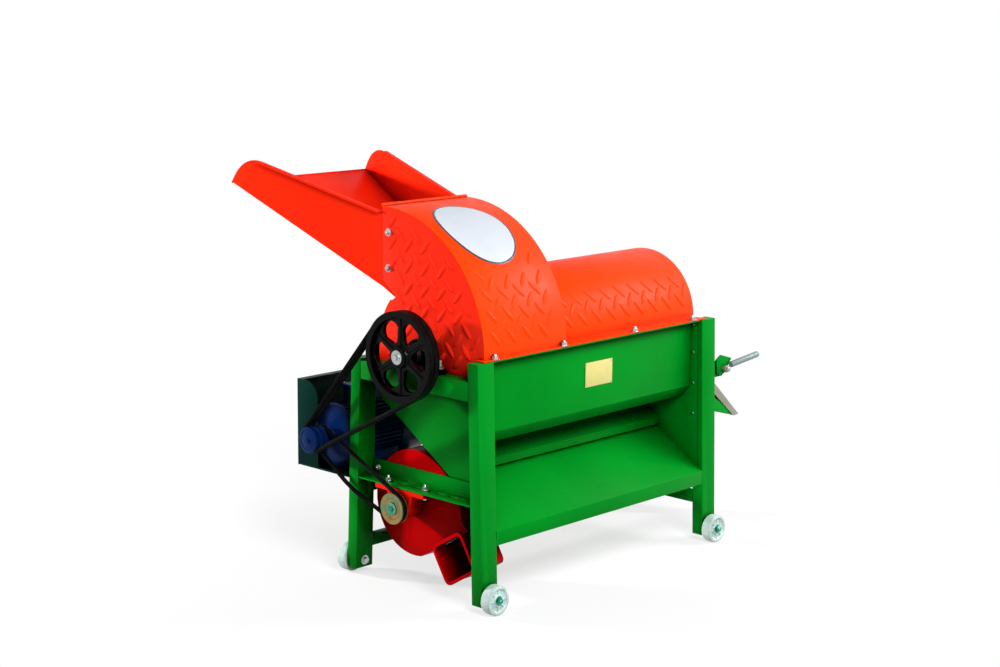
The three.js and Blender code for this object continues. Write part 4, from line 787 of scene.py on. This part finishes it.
def hopper_floor():
    """The sloping sheet, with a rounded lip across its outer end."""
    verts = []
    ys = (HOP["y0"], HOP["bend"], 250, 350, 450, 560, HOP["y1"])
    for y in ys:
        half = hopper_half(y) - 0.4
        for x, dz in rect(-half, half, 0, HOP["t"]):
            verts.append(at(HOP["x"] + x, y, slope(FLOOR_FROM, FLOOR_TO, y) + dz))
    last = 4 * (len(ys) - 1)
    faces = skin(len(ys), 4, False, True) + [(0, 1, 2, 3), tuple(range(last, last + 4))]
    floor = bevelled(from_data("hopper_floor", verts, faces), 0.6)
    frames = [(at(HOP["x"] + s * half, HOP["y1"] - 2, FLOOR_TO[1]), Y, Z) for s in (-1, 1)]
    return [floor, sweep("hopper_lip", frames, arc_points(0, 0, LIP_R, -100, 100, 8), degrees=35)]


hopper_parts = [hopper_wall(-1), hopper_wall(1), hopper_hem(-1), hopper_hem(1), *hopper_floor()]
look_of("hopper", painted(hopper_parts, "red_paint"))


# Bare badge and bare plate
def badge_point(degrees, r):
    c, s = cos_sin(180 - BADGE["deg"] - degrees)
    return HOOD["y"] + r * c, HOOD["z"] + r * s


def badge():
    """A thin oval film laid on the hood, white with a dark border ring."""
    spokes, white_rings = 96, 8
    r0 = HOOD["r"] + 0.2
    levels = [(i / 10, 1.0) for i in range(1, white_rings + 1)]
    levels += [(0.955, 1.0), (0.985, 1.0), (1.0, 0.75), (1.0, 0.0)]
    verts = [at(BADGE["x"], *badge_point(0, r0 + 1.0))]
    for share, lift in levels:
        for k in range(spokes):
            t = 2 * math.pi * k / spokes
            x = BADGE["x"] + BADGE["half_x"] * share * math.cos(t)
            verts.append(at(x, *badge_point(BADGE["half_deg"] * share * math.sin(t), r0 + lift)))
    faces = [(0, 1 + k, 1 + (k + 1) % spokes) for k in range(spokes)]
    for i in range(len(levels) - 1):
        a, b = 1 + i * spokes, 1 + (i + 1) * spokes
        for k in range(spokes):
            q = (k + 1) % spokes
            faces.append((a + k, b + k, b + q, a + q))
    obj = smooth(from_data("oval_badge_look", verts, faces), 60)
    for key in ("white_film", "border_film"):
        obj.data.materials.append(M[key])
    for p in obj.data.polygons:
        if min(p.vertices) > white_rings * spokes:
            p.material_index = 1
    return obj


put(badge(), FRAME_BODY, "white_film", "oval_badge")
PLATE = {"x0": -37, "x1": 75, "z0": 523, "z1": 591, "y": -200.6, "rivet_in": 5}


def nameplate():
    x0, x1, z0, z1, y, rivet_in = PLATE.values()
    parts = painted([prism("plate", rect(x0, x1, z0, z1), y - 1, y + 0.7, "y", 0.4)], "yellow_plate")
    head = [(2.2, -0.2), (2.0, 0.6), (1.2, 1.1), (0, 1.25)]
    for x in (x0 + rivet_in, x1 - rivet_in):
        for z in (z0 + rivet_in, z1 - rivet_in):
            parts.append(colour(turned_on("rivet", at(x, y - 1, z), -Y, head, 16), "zinc"))
    return parts


look_of("nameplate", nameplate())

# Belt drive: three V-belts side by side, and the pulleys' grooves that hold them
PULLEY_X, PULLEY_R, RIM_IN = -556.5, 120.0, 103.0
BELT_TOP, BELT_H, BELT_SAG = 13.0, 8.0, 15.0
BELT_X = [PULLEY_X + BELT_TOP / 2 + 2.1 + 19.5 * i for i in range(3)]
GROOVE_HALF, GROOVE_DEEP = 7.2, 10.5
TAN = math.tan(math.radians(20))
GROOVE_FOOT = GROOVE_HALF - GROOVE_DEEP * TAN
SPOKES = 6
WEB_HALF = 6


def groove(x, r):
    half, low = GROOVE_HALF + 0.2, r - GROOVE_DEEP
    return [(x - half, r), (x - GROOVE_FOOT, low), (x + GROOVE_FOOT, low), (x + half, r)]


def rim_profile(x0, x1):
    """The big pulley's rim, with two grooves whose edges are broken."""
    r, inner, edge, lead = PULLEY_R, RIM_IN, 1.2, 1.5
    low = r - GROOVE_DEEP
    pts = [(x0 + lead, inner), (x0, inner + lead), (x0, r - edge), (x0 + edge, r)]
    for g in BELT_X[:2]:
        pts += [(g - GROOVE_HALF - 0.3, r), (g - GROOVE_HALF + 0.2, r - 0.5), (g - GROOVE_FOOT, low)]
        pts += [(g + GROOVE_FOOT, low), (g + GROOVE_HALF - 0.2, r - 0.5), (g + GROOVE_HALF + 0.3, r)]
    return pts + [(x1 - edge, r), (x1, r - edge), (x1, inner + lead), (x1 - lead, inner), (x0 + lead, inner)]


def drum_pulley():
    x0, x1 = PULLEY_X, BELT_X[1] + (BELT_X[0] - PULLEY_X)
    web0, web1 = (x0 + x1) / 2 - WEB_HALF, (x0 + x1) / 2 + WEB_HALF
    egg = arc_points(0, 70.5, 29, -8, 188, 22)[:-1] + arc_points(0, 51, 13, 200, 340, 12)[:-1]
    holes = []
    for i in range(SPOKES):
        c, s = cos_sin(360 / SPOKES * i + 30)
        holes.append([(DRUM[1] + y * c - z * s, DRUM[2] + y * s + z * c) for y, z in egg])
    disc = arc_points(DRUM[1], DRUM[2], RIM_IN + 2, 0, 360, 96)[:-1]
    bore, hub_end = 17.8, x0 + 46
    hub = [(x0, bore), (x0, 25), (x0 + 2, 27), (x0 + 6, 27), (web0, 31), (web1, 31), (hub_end, 27), (hub_end, bore),
           (x0, bore)]
    parts = [
        lathe("rim", rim_profile(x0, x1), 128, DRUM),
        prism("web", disc, web0, web1, "x", 2.2, holes, 3, 40),
        lathe("hub", hub, 64, DRUM, 30),
    ]
    ridge = [(-3.4, -1), (-2.6, 2.4), (-1.4, 3.4), (1.4, 3.4), (2.6, 2.4), (3.4, -1)]
    for i in range(SPOKES):
        c, s = cos_sin(360 / SPOKES * i + 90)
        path = [(at(web0, DRUM[1] + r * c, DRUM[2] + r * s), Vector((0, -s, c)), -X) for r in (29, 45, 70, 90, 104)]
        parts.append(sweep("rib", path, ridge, degrees=50))
    return painted(parts, "black_paint")


look_of("drum_pulley", drum_pulley())


def drum_shaft():
    """The shaft, with the washer, spring ring and bolt on its end at the pulley."""
    tip, far, r = PULLEY_X - 0.3, 504, 17.5
    bar = [(tip + 0.4, 0), (tip + 0.4, r - 0.7), (tip + 1.2, r), (far - 1, r), (far, r - 1), (far, 0)]
    washer = [(tip - 3, 0), (tip - 3, 17.6), (tip - 2.4, 18.8), (tip - 0.4, 19), (tip, 18.4), (tip, 0)]
    spring = [(tip - 5.4, 0), (tip - 5.4, 12.6), (tip - 5, 13.2), (tip - 3, 13.2), (tip - 3, 0)]
    parts = [colour(lathe("bar", bar, 48, DRUM), "steel")]
    parts += painted([lathe("washer", washer, 48, DRUM), lathe("spring", spring, 40, DRUM)], "zinc")
    return parts + bolt(at(tip - 4.6, DRUM[1], DRUM[2]), -X, 9.5, washer=False, twist=0.35)


look_of("drum_shaft", drum_shaft())

# Motor and its pulley
MOTOR = (0, 346, 370)
MOTOR_R, FOOT_Z = 37.0, 278.6
FRONT_X, SHIELD_X, FIN_END_X = -487.0, -455.0, -277.0
SHIELD_R, FIN_FOOT_R, BODY_R = 90, 79, 80.0
FINS, FIN_FREE_TOP_DEG, FIN_FREE_BOTTOM_DEG = 44, 24, 18
FOOT_HALF_Y = 70


def motor_ring(name, x0, x1, inner, outer, steps):
    return lathe(name, [(x0, inner), (x0, outer), (x1, outer), (x1, inner), (x0, inner)], steps, MOTOR)


def motor_casing():
    f = FRONT_X
    shield = [(f, 14), (f, 26), (f + 1, 27), (f + 5, 30), (f + 6, 52), (f + 9, 68), (f + 14, 82), (f + 20, 88),
              (f + 24, SHIELD_R), (SHIELD_X - 1, SHIELD_R), (SHIELD_X, SHIELD_R - 1), (SHIELD_X, 14), (f, 14)]
    parts = [
        lathe("shield", shield, 96, MOTOR, 28),
        motor_ring("stator", SHIELD_X - 1, FIN_END_X, 57, BODY_R, 96),
        motor_ring("end", FIN_END_X - 12, FIN_END_X, 15, 82, 64),
    ]
    fin = [(-2.0, -1), (-1.5, 9.4), (-0.9, 10.6), (0.9, 10.6), (1.5, 9.4), (2.0, -1)]
    for i in range(FINS):
        a = 2 * math.pi * i / FINS
        if abs(math.degrees(a) - 90) < FIN_FREE_TOP_DEG or abs(math.degrees(a) - 270) < FIN_FREE_BOTTOM_DEG:
            continue
        c, s = math.cos(a), math.sin(a)
        y, z = MOTOR[1] + FIN_FOOT_R * c, MOTOR[2] + FIN_FOOT_R * s
        path = [(at(x, y, z), Vector((0, -s, c)), Vector((0, c, s))) for x in (SHIELD_X + 1, FIN_END_X - 4)]
        parts.append(sweep("fin", path, fin))
    for sy in (-1, 1):
        y = MOTOR[1] + sy * FOOT_HALF_Y
        foot = [(y + sy * p, FOOT_Z + q) for p, q in ((-17, 0), (17, 0), (17, 9), (14, 12), (-14, 12), (-17, 9))]
        parts.append(prism("foot", foot, SHIELD_X + 6, FIN_END_X - 4, "x", 1.4))
        knee = rect(y - 8, y + 8, FOOT_Z + 6, FOOT_Z + 46)
        parts.append(prism("knee", knee, SHIELD_X + 14, FIN_END_X - 14, "x", 1.2))
    saddle = rect(MOTOR[1] - 34, MOTOR[1] + 34, MOTOR[2] + 73, MOTOR[2] + 90)
    parts.append(prism("saddle", saddle, -394, -306, "x", 1.4))
    parts = painted(parts, "blue_paint")
    for k in range(4):
        c, s = cos_sin(45 + 90 * k)
        parts += bolt(at(f + 21, MOTOR[1] + 78 * c, MOTOR[2] + 78 * s), -X, 5.0)
    return parts


look_of("motor_casing", motor_casing())


def motor_cowl():
    """The fan's cover, with a grille of rings and bars on its end."""
    x0, x1 = FIN_END_X + 0.3, FIN_END_X + 119.3
    shell = [(x0, 84), (x0, 87), (x1 - 16, 87), (x1 - 6, 83), (x1 - 1, 76), (x1, 70), (x1, 6), (x1 - 2, 6),
             (x1 - 2, 69), (x1 - 8, 80), (x1 - 17, 84), (x0, 84)]
    parts = [lathe("cowl", shell, 96, MOTOR, 30)]
    for r in (20, 32, 44, 56, 67):
        ring = [(x1, r - 1.6), (x1 + 1.0, r - 1.0), (x1 + 1.0, r + 1.0), (x1, r + 1.6)]
        parts.append(lathe("ring", ring, 64, MOTOR))
    for k in range(8):
        c, s = cos_sin(45 * k)
        path = [(at(x1, MOTOR[1] + r * c, MOTOR[2] + r * s), Vector((0, -s, c)), X) for r in (8, 68)]
        parts.append(sweep("bar", path, [(-1.8, -0.5), (-1.2, 1.2), (1.2, 1.2), (1.8, -0.5)]))
    return painted(parts, "blue_paint")


look_of("motor_cowl", motor_cowl())
dress("terminal_box", 2.2, 3)
loose("terminal_screws", four_bolts((-388, -312), MOTOR[1], 36, MOTOR[2] + 130.3, 3.2, washer=False))


def motor_pulley():
    x0, r = BELT_X[0] - GROOVE_HALF - 2.1, MOTOR_R
    x1 = BELT_X[2] + BELT_X[0] - x0
    profile = [(x0, 0.0), (x0, 22), (x0 + 1.5, 25), (x0 + 1.5, 29), (x0, 31), (x0 + 2, r - 1.2), (x0 + 3.2, r)]
    for x in BELT_X:
        profile += groove(x, r)
    profile += [(x1 - 1, r), (x1, r - 1), (x1, 0.0)]
    head = bolt(at(x0 + 0.2, MOTOR[1], MOTOR[2]), -X, 6.5, washer=False)
    return painted((lathe("sheave", profile, 96, MOTOR, 28), *head), "blue_paint")


look_of("motor_pulley", motor_pulley())
dress("motor_shaft")

# Fan drive
FAN = (0, 54, 228)
FAN_R, FAN_X = 42.0, BELT_X[2] - 12.0


def fan_pulley():
    x0, x1, r, bore = FAN_X, FAN_X + 22, FAN_R, 12.8
    profile = [(x0 + 2.5, bore), (x0 + 2.5, 19), (x0 + 3.5, 20), (x0 + 3.5, 28), (x0 + 1.0, 30), (x0, 32)]
    profile += [(x0, r - 1.6), (x0 + 0.8, r), *groove(BELT_X[2], r)]
    profile += [(x1 - 0.8, r), (x1, r - 1), (x1, bore), (x0 + 2.5, bore)]
    return colour(lathe("fan_pulley_look", profile, 96, FAN, 28), "yellow_zinc")


put(fan_pulley(), "fan_rotor", "yellow_zinc", "fan_pulley")


def fan_shaft():
    tip, far, r = FAN_X - 0.3, -361.7, 12.5
    bar = [(tip, 0), (tip, r - 0.5), (tip + 0.6, r), (far - 0.6, r), (far, r - 0.5), (far, 0)]
    washer = [(tip - 1.4, 0), (tip - 1.4, 17), (tip - 1, 17.6), (tip + 0.2, 17.6), (tip + 0.4, 17), (tip + 0.4, 0)]
    nut = bolt(at(tip - 1.2, FAN[1], FAN[2]), -X, 9.0, washer=False, stud=1.2, key="green_nut")
    return [colour(lathe("bar", bar, 40, FAN), "steel"), colour(lathe("washer", washer, 48, FAN), "green_nut"), *nut]


look_of("fan_shaft", fan_shaft())


# Belts
def belt(name, x, first, r0, second, r1, sag=0.0):
    """A V-belt round two pulleys, given by centre and radius. Its lower run may sag."""
    dy, dz = second[1] - first[1], second[2] - first[2]
    heading = math.atan2(dz, dy)
    lean = math.acos((r0 - r1) / math.hypot(dy, dz))
    stops = []

    def stop(cy, cz, r, a):
        n = Vector((0, math.cos(a), math.sin(a)))
        stops.append((at(x, cy + r * n.y, cz + r * n.z), X, n))
    for i in range(97):
        stop(first[1], first[2], r0, heading + lean + (2 * math.pi - 2 * lean) * i / 96)
    for i in range(1, 24 if sag else 1):
        t = i / 24
        r = r0 + (r1 - r0) * t + sag * math.sin(math.pi * t) ** 2
        stop(first[1] + dy * t, first[2] + dz * t, r, heading - lean)
    for i in range(49):
        stop(second[1], second[2], r1, heading - lean + 2 * lean * i / 48)
    w, low = BELT_TOP / 2, BELT_TOP / 2 - BELT_H * TAN
    half = [(w - 0.8, 0.0), (w, -0.8), (w - 0.6, -2.6), (low + 0.2, -BELT_H + 0.6), (low - 0.6, -BELT_H)]
    mirrored = [(-u, v) for u, v in reversed(half)]
    section = mirrored[-1:] + half + mirrored[:-1]
    put(colour(sweep(name + "_look", stops, section, closed=True), "rubber"), FRAME_BODY, "rubber", name)


belt("main_belt_outer", BELT_X[0], DRUM, PULLEY_R, MOTOR, MOTOR_R)
belt("main_belt_inner", BELT_X[1], DRUM, PULLEY_R, MOTOR, MOTOR_R)
belt("fan_belt", BELT_X[2], FAN, FAN_R, MOTOR, MOTOR_R, BELT_SAG)

# Wheels
LEG_FOOT_ZY, LEG_TOP_ZY = (20, LEG_FOOT_Y), (655, 234)  # a leg's outer face at its foot and top
LEG_T = 35
WHEEL_X, WHEEL_Z, AXLE_R = 465, 40, 6
AXLE_LOW, AXLE_HIGH = WHEEL_Z - 15, WHEEL_Z + 15


def leg_outer_y(z):
    return slope(LEG_FOOT_ZY, LEG_TOP_ZY, z)


WHEEL_Y = leg_outer_y(AXLE_LOW) + 4 + 15


def wheel_look(x0, y0):
    """A roller with a recess and eight ribs on each face."""
    half = [(12, 6.6), (12, 12), (14, 13.5), (14, 15.5), (11, 18), (10.4, 27), (12.6, 30), (15, 32), (15, 36),
            (14, 38.4), (11.5, 39.7), (9, 40)]
    profile = [(-a, r) for a, r in half] + [(a, r) for a, r in reversed(half)] + [(-12, 6.6)]
    parts = [lathe("tread", [(y0 + a, r) for a, r in profile], 80, (x0, 0, WHEEL_Z), 24, axis="y")]
    for k in range(8):
        c, s = cos_sin(45 * k)
        for face in (-1, 1):
            y = y0 + face * 10.6
            path = [(at(x0 + r * c, y, WHEEL_Z + r * s), Vector((-s, 0, c)), Y * face) for r in (15, 31)]
            parts.append(sweep("rib", path, [(-2.2, -0.6), (-1.4, 2.2), (1.4, 2.2), (2.2, -0.6)]))
    return painted(parts, "nylon")


def wheel_hardware(x0, sy, nut_key):
    """Nut outside, bolt head inside the leg, and the axle with its spacer."""
    a = leg_outer_y(AXLE_LOW)
    parts = bolt(at(x0, sy * (WHEEL_Y + 12.3), WHEEL_Z), Y * sy, 9.2, stud=3.5, key=nut_key)
    parts += bolt(at(x0, sy * (leg_outer_y(AXLE_HIGH) - LEG_T - 0.3), WHEEL_Z), Y * -sy, 9.2)
    axle = [(a - 38, 0), (a - 38, AXLE_R), (a + 0.6, AXLE_R), (a + 0.6, 11.4), (a + 6.4, 11.4), (a + 6.4, AXLE_R),
            (WHEEL_Y + 14, AXLE_R), (WHEEL_Y + 14, 0)]
    spacer = lathe("spacer", [(sy * y, r) for y, r in axle], 32, (x0, 0, WHEEL_Z), axis="y")
    return [*parts, colour(spacer, "zinc")]


for corner in CORNERS:
    x0 = -WHEEL_X if "left" in corner else WHEEL_X
    sy, nut_key = (-1, "green_nut") if "front" in corner else (1, "zinc")
    look_of("wheel_" + corner, wheel_look(x0, sy * WHEEL_Y))
    look_of("wheel_bolt_" + corner, wheel_hardware(x0, sy, nut_key))

# Gate handle and bolts
HANDLE_FROM, HANDLE_TO, HANDLE_R = Vector((566, 0, 509)), Vector((701, 0, 523)), 9
HANDLE_Y = -234 - 9.3
PIVOT_X, PIVOT_Z = 543.5, 499


def gate_handle():
    way = HANDLE_TO - HANDLE_FROM
    profile = [(0, 0), (HANDLE_R - 1, 0), (HANDLE_R, 1.2)]
    profile += arc_points(0, way.length - HANDLE_R, HANDLE_R, 0, 90, 8)
    where = at(HANDLE_FROM.x, HANDLE_Y, HANDLE_FROM.z)
    return colour(turned_on("gate_handle_look", where, way.normalized(), profile, 48, degrees=40), "rod_steel")


put(gate_handle(), "gate", "zinc", "gate_handle")
gate_nuts = bolt(at(PIVOT_X, -249, PIVOT_Z), -Y, 8.0, washer=False, stud=1.5)
gate_nuts += bolt(at(PIVOT_X, 92, PIVOT_Z), Y, 8.0, stud=1.0)
loose("gate_nuts", gate_nuts, "gate")

cover_bolts = []
for x in (-417.5, -151.5, 145.5, 405.5):
    for y in (-221, 221):
        cover_bolts += bolt(at(x, y, FLANGE_Z + COVER["t"]), Z, 9.0, stud=5, twist=0.2 + x * 0.01)
loose("cover_bolts", cover_bolts)

side_bolts = []
for z in SIDE_BOLT_Z:
    for x, out in ((HOOD["x0"], -X), (HOOD["x1"], X)):
        side_bolts += bolt(at(x, SIDE_BOLT_Y, z), out, 7.5, stud=3, twist=z * 0.1)
loose("hood_side_bolts", side_bolts)

BEARER_X, BEARER_TOP, BEARER_LOW = -464, 283, 264.7
fan_bolts = []
for y in (FAN[1] - 70, FAN[1] + 70):
    fan_bolts += bolt(at(BEARER_X, y, BEARER_TOP), Z, 8.5, stud=7, twist=0.1)
    fan_bolts += bolt(at(BEARER_X, y, BEARER_LOW), -Z, 8.5, twist=0.5)
for y in (-190, 190):
    fan_bolts += bolt(at(-439.5, y, 303), -X, 6.5, stud=3)
loose("fan_bearer_bolts", fan_bolts)

loose("bearing_bolts", four_bolts((-472, 472), DRUM[1], 75, SKIRT["z"] + 16, 8.5, stud=13, twist=0.4))
loose("motor_foot_bolts", four_bolts((-430, -300), MOTOR[1], FOOT_HALF_Y, FOOT_Z + 12, 6.0, stud=5))

screws = []
for out in (-1, 1):
    for z, y in ((640, -206), (560, -208), (470, -210), (380, -212)):
        screws += bolt(at(out * 431.7, y, z), X * -out, 4.2, washer=False)
loose("end_plate_screws", screws)

# The tray's ends, folded against the legs
TRAY_FOLD = [(-226, 228), (-250, 212), (-250, 173.2)]
TRAY_END_HALF, TRAY_END_T = 2.2, 2.0
tray_ends = [strip("tray_end", TRAY_FOLD, TRAY_END_T, x - TRAY_END_HALF, x + TRAY_END_HALF, 0.3)
             for x in (-433.1, 433.1)]
loose("tray_ends", painted(tray_ends, "green_paint"), slot="green_paint")

# Floor, light and backdrop
FLOOR_RADIUS, FLOOR_SIDES = 4.0, 96
FLOOR_FADES = (0.8, 1.9)
FLOOR_GLOW = 0.65
SKY_TOP, SKY_AT_FLOOR, SKY_AT_TOP = 0.9, 0.34, 0.06
LIGHT_TARGET = Vector((0, 0, 0.6))


def background_rays(tree):
    """1 for the rays that see the pale background: from the camera, off a mirror and through glass."""
    path = add_node(tree, "LightPath")
    total = path.outputs["Is Camera Ray"]
    for kind in ("Is Glossy Ray", "Is Transmission Ray"):
        total = add_node(tree, "Math", {0: total, 1: path.outputs[kind]}, operation="MAXIMUM").outputs[0]
    return total


def stage_floor():
    """A pale disc under the machine that fades out into the white behind it."""
    bm = bmesh.new()
    turns = [2 * math.pi * k / FLOOR_SIDES for k in range(FLOOR_SIDES)]
    bm.faces.new([bm.verts.new((FLOOR_RADIUS * math.cos(a), FLOOR_RADIUS * math.sin(a), 0)) for a in turns])
    floor = new_object("floor", bm)
    kit = Kit("floor")
    tone = kit.ramp(kit.noise(1.5), [(NOISE_LOW, shade(WHITE, 0.86)), (NOISE_HIGH, shade(WHITE, 0.9))])
    kit.done({"Base Color": tone, "Roughness": 0.9, "Specular IOR Level": 0.1})
    lit, glow = kit.shader.outputs[0], kit.add("Emission").outputs[0]
    pale = kit.add("MixShader", {0: FLOOR_GLOW, 1: lit, 2: glow}).outputs[0]
    dull = kit.add("BsdfDiffuse", {"Color": (0.3, 0.3, 0.3, 1)}).outputs[0]
    seen = kit.add("MixShader", {0: background_rays(kit.tree), 1: dull, 2: pale}).outputs[0]
    away = kit.add("VectorMath", {0: kit.place}, operation="LENGTH").outputs["Value"]
    fade = kit.add("MapRange", {"Value": away, "From Min": FLOOR_FADES[0], "From Max": FLOOR_FADES[1]},
                   interpolation_type="SMOOTHSTEP").outputs["Result"]
    clear = kit.add("BsdfTransparent").outputs[0]
    whole = kit.add("MixShader", {0: fade, 1: seen, 2: clear}).outputs[0]
    feed(kit.tree, kit.tree.nodes["Material Output"], {"Surface": whole})
    floor.data.materials.append(kit.mat)


stage_floor()


def area_light(name, direction, distance, size, power, mirrored=True):
    data = bpy.data.lights.new(name, "AREA")
    data.shape = "RECTANGLE"
    data.size, data.size_y = size
    data.energy = power
    way = Vector(direction).normalized()
    lamp = linked(name, data)
    lamp.location = LIGHT_TARGET + way * distance
    lamp.rotation_euler = way.to_track_quat("Z", "Y").to_euler()
    lamp.visible_glossy = mirrored


area_light("key", (-0.54, 0.825, 0.167), 4.2, (0.35, 0.35), 235, mirrored=False)
area_light("window", (0.72, -0.52, 0.45), 4.5, (2.2, 1.6), 160)
area_light("front", (-0.5, -1.0, 0.7), 5.0, (2.0, 2.0), 205)


def studio_world():
    """White where it is seen, and a soft light that is weaker from above."""
    world = bpy.data.worlds.new("studio")
    world.use_nodes = True
    tree = world.node_tree
    tree.nodes.clear()
    way = add_node(tree, "SeparateXYZ", {0: add_node(tree, "TexCoord").outputs["Generated"]})
    strength = add_node(tree, "MapRange", {
        "Value": way.outputs["Z"], "From Min": 0.0, "From Max": SKY_TOP,
        "To Min": SKY_AT_FLOOR, "To Max": SKY_AT_TOP,
    }).outputs["Result"]
    lit = add_node(tree, "Background", {"Color": (0.95, 0.97, 1, 1), "Strength": strength}).outputs[0]
    seen = add_node(tree, "Background", {"Color": (1, 1, 1, 1), "Strength": 1.0}).outputs[0]
    both = add_node(tree, "MixShader", {0: background_rays(tree), 1: lit, 2: seen}).outputs[0]
    add_node(tree, "OutputWorld", {"Surface": both})
    bpy.context.scene.world = world


studio_world()
bpy.context.scene.view_settings.view_transform = "Standard"
